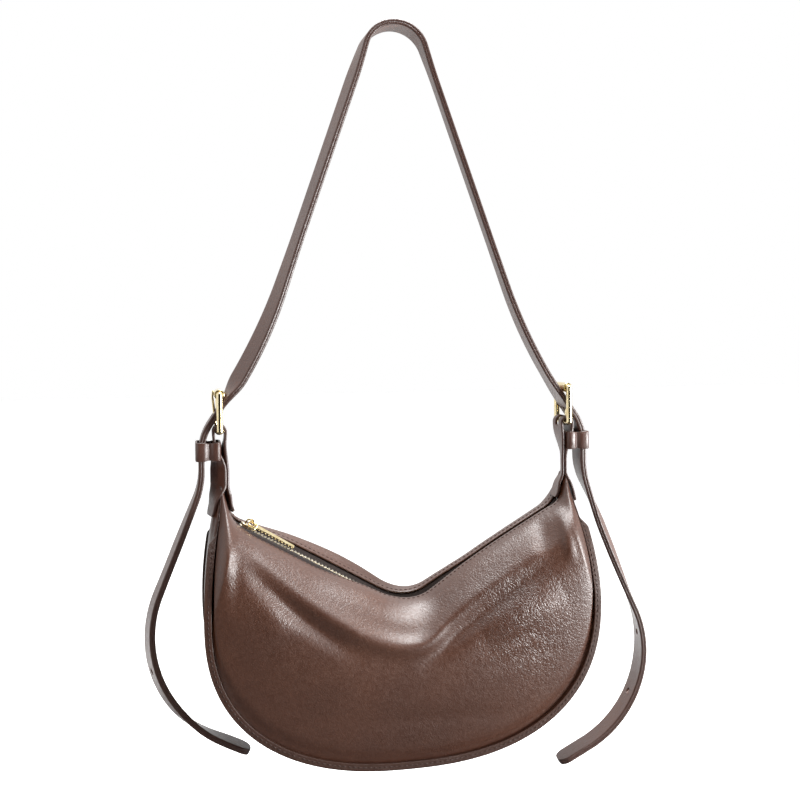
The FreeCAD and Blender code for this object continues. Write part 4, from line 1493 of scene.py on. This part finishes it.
@dataclass
class Keeper:
    """Leather loop that holds the tail of the strap against the tab."""

    side: Side
    finish: Material
    x_range: Pair = (134.25, 152.5)
    half_wide: float = 12.1
    z_range: Pair = (-327.486, -313.486)
    wall: float = 1.5
    corner: float = 2.2
    pinch_x: float = 142.6
    pinch_depth: float = 2.0
    pillow: float = 0.8

    def build(self) -> None:
        """Builds the loop: a flat rounded section carried round a rounded rectangle.

        The front and back are drawn in by a bell between the two strands that the loop holds. Each
        strand's half is a pillow, which bulges with 1 - z^2 and stands a little higher than the pinch.
        """
        half_out = (self.x_range[1] - self.x_range[0] - self.wall) / 2
        half_deep = self.half_wide - self.wall / 2
        path = rounded_ring(half_out, half_deep, (self.corner, self.corner), 6, 28)
        x = path[:, :1] + sum(self.x_range) / 2
        pinch = self.pinch_depth * bell(x[:, 0] - self.pinch_x, 2.2)
        path[:, 1] -= np.sign(path[:, 1]) * pinch * (np.abs(path[:, 1]) > half_deep - 2.3)
        normal = loop_normals(path)
        high = (self.z_range[1] - self.z_range[0]) / 2
        thick, rise = rounded_ring(self.wall / 2, high, (0.6, 0.6), 4, 2).T
        lobe = 1 - bell(x - self.pinch_x, 3.0)
        out = thick + self.pillow * lobe * (1 - (rise / high) ** 2)
        up = sum(self.z_range) / 2 + rise * (0.9 + 0.1 * lobe)
        across, depth = x + normal[:, :1] * out, path[:, 1:] + normal[:, 1:] * out
        rings = flat_points(self.side.value * across, up, depth)
        skin = Skin()
        skin.add_tube(rings, None, bell(high - np.abs(rise), 0.7), closed=True)
        skin.piece(f"{self.side.label}_keeper", self.finish, "strap_leather", "strap")


@dataclass
class Tab:
    """Leather strip folded over the buckle's low bar and sewn astride the ear of the body."""

    side: Side
    finish: Material
    form: BodyForm = field(default_factory=BodyForm)
    x: float = 135.0
    width: float = 19.0
    thickness: float = 2.0
    loop_radius: float = 4.4
    loop_z: float = -306.586
    neck_half: float = 1.15
    neck_z: Pair = (-345.0, -334.0)
    inner_lap: float = 11.0
    outer_lap: float = 13.0
    hem_lift: float = 4.1
    gusset_lift: float = 6.0
    end_run: float = 5.0
    end_share: float = 0.72
    slot_z: float = -309.6
    slot_half: int = 3
    twists: Pair = (34.0, 18.0)
    steps: int = 3
    cells: int = 16

    def leg(self, spots: Array, ways: Array) -> Array:
        """Curve through points with given directions, a cubic between each two.

        Args:
            spots: points (n, 2) of the curve.
            ways: unit vector of its direction at each.

        Returns:
            Points (m, 2) along the curve.
        """
        share = np.linspace(0, 1, 26)[:-1, None]
        square, cube = share ** 2, share ** 3
        start, end = spots[:-1, None], spots[1:, None]
        reach = np.linalg.norm(end - start, axis=-1, keepdims=True)
        bend = ways[:-1, None] * (cube - 2 * square + share) + ways[1:, None] * (cube - square)
        rows = start * (2 * cube - 3 * square + 1) + end * (3 * square - 2 * cube) + bend * reach
        return np.concatenate((rows.reshape(-1, 2), spots[-1:]))

    def line(self) -> Array:
        """Middle line of the strip on the right side, in across and up.

        The inner leg rises from its sewn end on the hem to the loop over the bar, and the outer leg falls
        from there to its sewn end on the gusset.

        Returns:
            Points (n, 2) along the strip.
        """
        hem, way, normal = self.form.zip_at(2 * self.form.zip_path.length - np.array((self.inner_lap, 0.0)))
        seam, outward = self.form.seam_at(1 - np.array((0.0, self.outer_lap)) / self.form.seam_half)
        hem = (hem + normal * self.hem_lift)[:, (0, 2)]
        seam = (seam + outward * self.gusset_lift)[:, (0, 2)]
        half = np.array((self.neck_half, self.neck_half, self.loop_radius))
        up = np.array((*self.neck_z, self.loop_z))
        rising = np.stack((self.x - half, up), axis=-1)
        falling = np.stack((self.x + half, up), axis=-1)[::-1]
        upward = np.tile((0.0, 1.0), (3, 1))
        angle = np.linspace(math.pi, 0, 28)[1:-1, None]
        loop = np.concatenate((np.cos(angle), np.sin(angle)), axis=1) * self.loop_radius
        inner = self.leg(np.concatenate((hem, rising)), np.concatenate((way[:, (0, 2)], upward)))
        down = np.concatenate((-upward, right_of(outward[:, (0, 2)])))
        outer = self.leg(np.concatenate((falling, seam)), down)
        return np.concatenate((inner, loop + np.array((self.x, self.loop_z)), outer))

    def build(self) -> None:
        """Builds the strip and its prong slot.

        Below the buckle the strip turns about its upright middle line, outer face to the viewer, by a
        smooth step with the drop.
        """
        line = self.line()
        normal = -right_of(np.gradient(line, axis=0))
        wide, thick = rounded_ring(self.width / 2, self.thickness / 2, (0.7, 0.7), self.steps, self.cells).T
        run = run_along(line)[:, None]
        near = np.clip(np.minimum(run, run[-1] - run) / self.end_run, 0, 1)
        depth = wide * (self.end_share + (1 - self.end_share) * np.sqrt(1 - (1 - near) ** 2))
        off = line[:, :1] + normal[:, :1] * thick - self.x
        up = line[:, 1:] + normal[:, 1:] * thick
        turn = math.radians(self.side.pick(self.twists)) * (1 - ease(up, -336.0, -312.0))
        turn = turn * (0.35 + 0.65 * ease(up, -362.0, -344.0))
        across = self.x + off * np.cos(turn) + depth * np.sin(turn)
        depth = depth * np.cos(turn) - off * np.sin(turn)
        rings = flat_points(self.side.value * across, up, depth)
        rim = (np.abs(wide) > self.width / 2 - 0.5) * 1.0
        high = np.flatnonzero(line[:, 1] > self.slot_z)
        middle = self.cells // 2
        slot = int(high[0]), int(high[-1]), middle - self.slot_half, middle + self.slot_half
        skin = Skin()
        skin.add_ply(rings, texture(run, wide), rim, self.steps, self.cells, (slot,))
        piece = skin.piece(f"{self.side.label}_tab", self.finish, "strap_leather")
        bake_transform(piece)


@dataclass
class ZipChain:
    """Closed zip in the mouth: woven tapes, interlocking teeth and their stops."""

    cloth: Material
    metal: Material
    form: BodyForm = field(default_factory=BodyForm)
    tape: Pair = (2.95, 10.5)
    tape_thickness: float = 0.8
    tape_start: float = 12.0
    pitch: float = 2.8
    tooth_height: float = 2.6
    head_height: float = 1.4
    root: float = 2.9
    head: float = 0.9
    chain: Pair = (27.967, 297.5)
    stop_length: float = 2.6
    stop_gap: float = 0.6

    def build_tape(self, face: Face) -> None:
        """Tape: a thin rounded section along the zip, with a corded bead at the teeth.

        Beyond the slider's width the tape bends with the mouth's tilt, by a smooth step across.

        Args:
            face: front or back.
        """
        run = np.linspace(self.tape_start, 2 * self.form.zip_path.length - self.tape_start, 300)
        point, _, normal = self.form.zip_at(run)
        half = (self.tape[1] - self.tape[0]) / 2
        across, rise = rounded_ring(half, self.tape_thickness / 2, (0.3, 0.3), 3, 14).T
        across = across + sum(self.tape) / 2
        rise = rise * (1 + 0.5 * bell(across - self.tape[0] - 0.7, 0.6))
        rise = rise + self.form.hem_shift(run, face)[:, None] * ease(across, 4.6, 6.8)
        points = point[:, None] + normal[:, None] * rise[..., None]
        points[..., 1] = face.value * across
        skin = Skin()
        skin.add_tube(points, texture(run[:, None], across))
        skin.piece(f"{face.label}_zip_tape", self.cloth, "zip_tape", "bag")

    def add_blocks(self, skin: Skin, run: Array | float, steps: tuple[Triple, ...], face: Face) -> None:
        """Takes a row of small blocks across the chain into a skin, one at each distance.

        A block is an eight-sided ring of the chain's length and height, carried across from the root to
        the head.

        Args:
            skin: skin to add to.
            run: distances of the blocks along the zip.
            steps: place across, positive towards the block's own tape, half height and half length of
                each ring.
            face: front or back row.
        """
        reach, high, long = np.array(steps).T[..., None]
        length = np.array((1, 1, 0.6, -0.6, -1, -1, -0.6, 0.6))
        height = np.array((-0.5, 0.5, 1, 1, 0.5, -0.5, -1, -1))
        point, way, normal = (grid[:, None, None] for grid in self.form.zip_at(np.atleast_1d(run)))
        points = point + way * (long * length)[..., None] + normal * (high * height)[..., None]
        points[..., 1] = face.value * reach
        for rings in points:
            skin.add_tube(rings)

    def build_teeth(self, face: Face) -> None:
        """One row of teeth: a clamp at the tape, a waist and a rounded head past the middle.

        Args:
            face: front or back row; the back row stands half a pitch further on.
        """
        run = np.arange(self.chain[0] + face.pick((0.0, self.pitch / 2)), self.chain[1], self.pitch)
        full, low = self.tooth_height / 2, self.head_height / 2
        steps = ((self.root + 0.9, full * 0.8, 0.5), (self.root + 0.5, full, 0.62), (1.6, full, 0.62),
                 (0.7, full * 0.92, 0.5), (0.35 - self.head, low * 1.3, 0.62), (-self.head, low * 0.8, 0.4))
        skin = Skin()
        self.add_blocks(skin, run, steps, face)
        skin.piece(f"{face.label}_zip_teeth", self.metal, "zip_metal", "bag", Edge.CRISP)

    def build_stops(self) -> None:
        """Stops: a clamp on each tape at the left end, and one block over both at the right end."""
        half = self.stop_length / 2
        sizes = [(share * self.tooth_height / 2, share * half) for share in (0.7, 1.0, 1.0, 0.7)]
        clamp, block = (tuple((reach, *size) for reach, size in zip(reaches, sizes)) for reaches in (
            (self.root + 0.6, self.root + 0.2, 0.5, 0.15), (3.4, 2.8, -2.8, -3.4)))
        skin = Skin()
        for face in Face:
            self.add_blocks(skin, self.chain[0] - self.pitch / 2 - half, clamp, face)
        skin.piece("zip_top_stops", self.metal, "zip_metal", "bag", Edge.CRISP)
        skin = Skin()
        self.add_blocks(skin, self.chain[1] + half + self.stop_gap, block, Face.BACK)
        skin.piece("zip_bottom_stop", self.metal, "zip_metal", "bag", Edge.CRISP)

    def build(self) -> None:
        """Builds the tapes, the teeth and the stops."""
        for face in Face:
            self.build_tape(face)
            self.build_teeth(face)
        self.build_stops()


@dataclass
class Slider:
    """Zip slider with its bail, and the flat pull that hangs from it."""

    finish: Material
    centre: Triple = (-115.339, 0.0, -379.703)
    way: Triple = (0.872496, 0.0, -0.488621)
    normal: Triple = (0.488621, 0.0, 0.872496)
    length: float = 12.0
    half_width: float = 4.5
    half_height: float = 3.0
    plate: float = 1.3
    narrowing: Pair = (0.35, 0.95)
    rims: tuple[Pair, Pair] = ((-2.2, -0.75), (0.75, 2.2))
    bail_radius: float = 2.6
    bail_thickness: float = 1.2
    bail_width: float = 2.2
    bail_axis: float = 4.6
    pivot: Triple = (-113.091, 0.0, -375.689)
    pull_length: float = 39.0
    pull_thickness: float = 1.6
    pull_widths: Pair = (3.8, 3.0)
    eye: Pair = (6.4, 7.6)
    eye_bar: float = 0.9
    droop: float = 1.8
    pull_roll: float = 28.0

    @property
    def axes(self) -> Array:
        """Along the zip, across it to the back, and up from it, as rows."""
        return np.array((self.way, BACK_WAY, self.normal))

    def build_slider(self) -> None:
        """Slider: two waisted plates, two rims at each and the bail over the upper one.

        A plate's half width is full at its shoulders and narrows to the tail with a smooth step.
        """
        skin = Skin()
        axes, origin = self.axes, np.array(self.centre)
        base = rounded_ring(self.length / 2, self.half_width, (2.0, 2.0), 5, 12)
        base[:, 1] *= 1.0 - 0.22 * ease(base[:, 0] / self.length + 0.5, *self.narrowing)
        for low in (-self.half_height, self.half_height - self.plate):
            skin.add_plate(base, low, low + self.plate, 0.45, origin, axes)
        for face in Face:
            side = rounded_ring(self.length / 2 - 1.4, 0.5, (0.45, 0.45), 3, 8)
            inset = 1.05 + 0.8 * ease(side[:, 0] / self.length + 0.5, *self.narrowing)
            side[:, 1] += face.value * (self.half_width - inset)
            for low, high in self.rims:
                skin.add_plate(side, low, high, 0.12, origin, axes)
        turn = np.linspace(0, math.pi, 26)
        reach = self.bail_radius + self.bail_thickness / 2
        bow = np.stack((reach * np.cos(turn), self.bail_axis + reach * np.sin(turn) * 0.95), axis=-1)
        legs = np.linspace(0, self.bail_axis - self.half_height + 0.3, 6)[:, None] * np.array((0.0, 1.0))
        line = np.concatenate((bow[:1] - legs[:0:-1], bow, bow[-1:] - legs[1:]))
        out = right_of(np.gradient(line, axis=0))
        section = rounded_ring(self.bail_width / 2, self.bail_thickness / 2, (0.4, 0.4), 3, 3)
        flat = line[:, None] + out[:, None] * section[:, 1:]
        skin.add_tube(origin + flat @ axes[::2] + section[:, :1] * axes[1])
        skin.piece("zip_slider", self.finish, "gold_metal", "zip_slider", Edge.CRISP)

    def build_pull(self) -> None:
        """Pull: a flat eye through the bail and a long flat bar that narrows to a round end.

        It lies along the zip, a little down at its end, and leans to the viewer by its roll.
        """
        droop, roll = math.radians(self.droop), math.radians(self.pull_roll)
        along, beside, up = self.axes
        way = along * math.cos(droop) - up * math.sin(droop)
        up = up * math.cos(droop) + along * math.sin(droop)
        axes = np.array((way, beside * math.cos(roll) + up * math.sin(roll),
                         up * math.cos(roll) - beside * math.sin(roll)))
        origin = np.array(self.pivot)
        half = self.pull_thickness / 2
        skin = Skin()
        eye_wide, eye_long = ((size - self.eye_bar) / 2 for size in self.eye)
        path = rounded_ring(eye_long, eye_wide, (1.6, 1.6), 7, 6)
        path[:, 0] += self.eye[1] / 2 - 1.2
        section = rounded_ring(self.eye_bar / 2, half, (0.35, 0.35), 3, 2)
        flat = path[:, None] + loop_normals(path)[:, None] * section[:, :1]
        skin.add_tube(origin + flat @ axes[:2] + section[:, 1:] * axes[2], closed=True)
        start, end = self.eye[1] - 1.9, self.pull_length - 1.0
        outline = rounded_ring((end - start) / 2, 1.0, (0.6, 0.6), 5, 16)
        outline[:, 0] += (start + end) / 2
        outline[:, 1] *= np.interp(outline[:, 0], (start, end), self.pull_widths) / 2
        skin.add_plate(outline, -half, half, 0.42, origin, axes)
        skin.piece("zip_pull", self.finish, "gold_metal", "zip_pull", Edge.CRISP)

    def build(self) -> None:
        """Builds the slider and its pull."""
        self.build_slider()
        self.build_pull()


@dataclass
class Studio:
    """White studio: floor, soft lamps, even world light and the camera. Its sizes are in metres."""

    floor_z: float = -0.70
    floor_half: float = 8.0
    floor_glow: float = 0.75
    world_strength: float = 0.22
    flag_half: float = 1.6
    flag_reach: Pair = (-1.7, 0.3)
    flag_top: float = 1.1
    lamp_target: Triple = (0.0, 0.0, -0.42)
    target: Triple = (0.00276, 0.0, -0.2401)
    distance: float = 0.7747
    azimuth: float = -12.0
    roll: float = 0.6
    lens: float = 45.27
    shift_y: float = -0.075

    def background(self, tree: bpy.types.NodeTree) -> Socket:
        """Factor that is one for the rays that show the background: camera, glossy and transmission.

        Args:
            tree: node tree to add to.

        Returns:
            Socket with the factor.
        """
        path = tree.nodes.new("ShaderNodeLightPath")
        total = path.outputs["Is Camera Ray"]
        for ray in ("Is Glossy Ray", "Is Transmission Ray"):
            higher = tree.nodes.new("ShaderNodeMath")
            higher.operation = "MAXIMUM"
            tree.links.new(total, higher.inputs[0])
            tree.links.new(path.outputs[ray], higher.inputs[1])
            total = higher.outputs[0]
        return total

    def build_world(self) -> None:
        """Even pale light on the object, with plain white behind it."""
        world = bpy.data.worlds.new("studio_white")
        bpy.context.scene.world = world
        world.use_nodes = True
        tree = world.node_tree
        shade = tree.nodes["Background"]
        strength = tree.nodes.new("ShaderNodeMapRange")
        tree.links.new(self.background(tree), strength.inputs[0])
        strength.inputs[3].default_value = self.world_strength
        strength.inputs[4].default_value = 1.0
        tree.links.new(strength.outputs[0], shade.inputs["Strength"])
        shade.inputs["Color"].default_value = (1.0, 1.0, 1.0, 1.0)

    def add_stage(self, name: str, points: Array, faces: tuple[tuple[int, ...], ...],
                  material: Material) -> bpy.types.Object:
        """Adds a sheet that belongs to the studio.

        Args:
            name: name of the sheet.
            points: its points (n, 3).
            faces: corner numbers of its faces.
            material: its finish.

        Returns:
            The sheet.
        """
        mesh = bpy.data.meshes.new(name)
        mesh.from_pydata(points, [], faces)
        mesh.materials.append(material)
        sheet = bpy.data.objects.new(name, mesh)
        bpy.context.scene.collection.objects.link(sheet)
        return sheet

    def build_floor(self) -> None:
        """Pale floor below the bag, whose own faint light lifts it to white for the camera."""
        sheet = NodeSheet("studio_floor")
        cloud = sheet.noise(sheet.place("Object"), 3.0, 1.0)
        sheet.feed(sheet.shader, {
            "Base Color": sheet.ramp(cloud, ((0.0, tone(238, 238, 238)), (1.0, tone(244, 244, 244)))),
            "Roughness": 0.9,
            "Emission Color": (1.0, 1.0, 1.0, 1.0),
            "Emission Strength": sheet.span(self.background(sheet.tree), (0.0, 1.0), (0.0, self.floor_glow)),
        })
        corners = np.array(((-1, -1), (1, -1), (1, 1), (-1, 1))) * self.floor_half
        points = np.column_stack((corners, np.full(4, self.floor_z)))
        self.add_stage("studio_floor", points, ((0, 1, 2, 3),), sheet.material)

    def build_flags(self) -> None:
        """Dark cloths before and below the bag that only its shine mirrors; no camera sees them."""
        far, near = self.flag_reach
        low = self.floor_z + 0.01
        rows = (far, self.flag_top), (far, low), (near, low)
        points = np.array([(side.value * self.flag_half, y, z) for y, z in rows for side in Side])
        flags = self.add_stage("studio_flags", points, ((0, 2, 3, 1), (2, 4, 5, 3)), FLAG_CLOTH.material())
        flags.visible_camera = False
        flags.visible_diffuse = False
        flags.visible_shadow = False

    def add_lamp(self, name: str, place: Triple, size: Pair, power: float, gleam: bool) -> None:
        """Soft box that looks at the bag's body.

        Args:
            name: name of the lamp.
            place: its place in metres.
            size: its width and height.
            power: its power in watts.
            gleam: whether shiny surfaces mirror it.
        """
        light = bpy.data.lights.new(name, "AREA")
        light.shape = "RECTANGLE"
        light.size, light.size_y = size
        light.energy = power
        lamp = bpy.data.objects.new(name, light)
        lamp.location = place
        lamp.visible_glossy = gleam
        aim = Vector(self.lamp_target) - Vector(place)
        lamp.rotation_euler = aim.to_track_quat("-Z", "Y").to_euler()
        bpy.context.scene.collection.objects.link(lamp)

    def build_camera(self) -> None:
        """Level camera on the bag's left, with a small roll and the picture shifted down."""
        data = bpy.data.cameras.new("camera")
        data.sensor_width = 36.0
        data.lens = self.lens
        data.shift_y = self.shift_y
        data.clip_start = 0.01
        camera = bpy.data.objects.new("camera", data)
        turn = math.radians(self.azimuth)
        target = Vector(self.target)
        camera.location = target + Vector((math.sin(turn), -math.cos(turn), 0.0)) * self.distance
        look = (target - camera.location).to_track_quat("-Z", "Y")
        camera.rotation_mode = "QUATERNION"
        camera.rotation_quaternion = look @ Quaternion((0.0, 0.0, 1.0), -math.radians(self.roll))
        bpy.context.scene.collection.objects.link(camera)
        bpy.context.scene.camera = camera

    def build(self) -> None:
        """Builds the whole studio."""
        self.build_world()
        self.build_floor()
        self.build_flags()
        self.add_lamp("overhead_box", (0.20, 0.08, 0.66), (1.2, 0.52), 32.0, True)
        self.add_lamp("front_box", (-0.30, -1.00, 0.75), (0.8, 0.4), 4.2, False)
        self.add_lamp("right_box", (0.98, -0.60, -0.38), (0.5, 0.5), 26.0, True)
        self.add_lamp("left_box", (-1.05, -0.75, -0.10), (0.36, 0.9), 4.4, False)
        self.build_camera()
        bpy.context.scene.view_settings.view_transform = "Standard"


def main() -> None:
    """Builds every sub-assembly in order."""
    logging.basicConfig(level=logging.INFO, format="%(name)s %(message)s")
    strap_leather, gold = STRAP_LEATHER.material(), GOLD_METAL.material()
    Strap(strap_leather).build()
    for side in Side:
        Buckle(side, gold).build()
        Keeper(side, strap_leather).build()
        Tab(side, strap_leather).build()
    BagBody(BODY_LEATHER.material(), LINING_CLOTH.material(), SEWING_THREAD.material()).build()
    ZipChain(ZIP_TAPE.material(), ZIP_METAL.material()).build()
    Slider(gold).build()
    Studio().build()


if __name__ == "__main__":
    main()
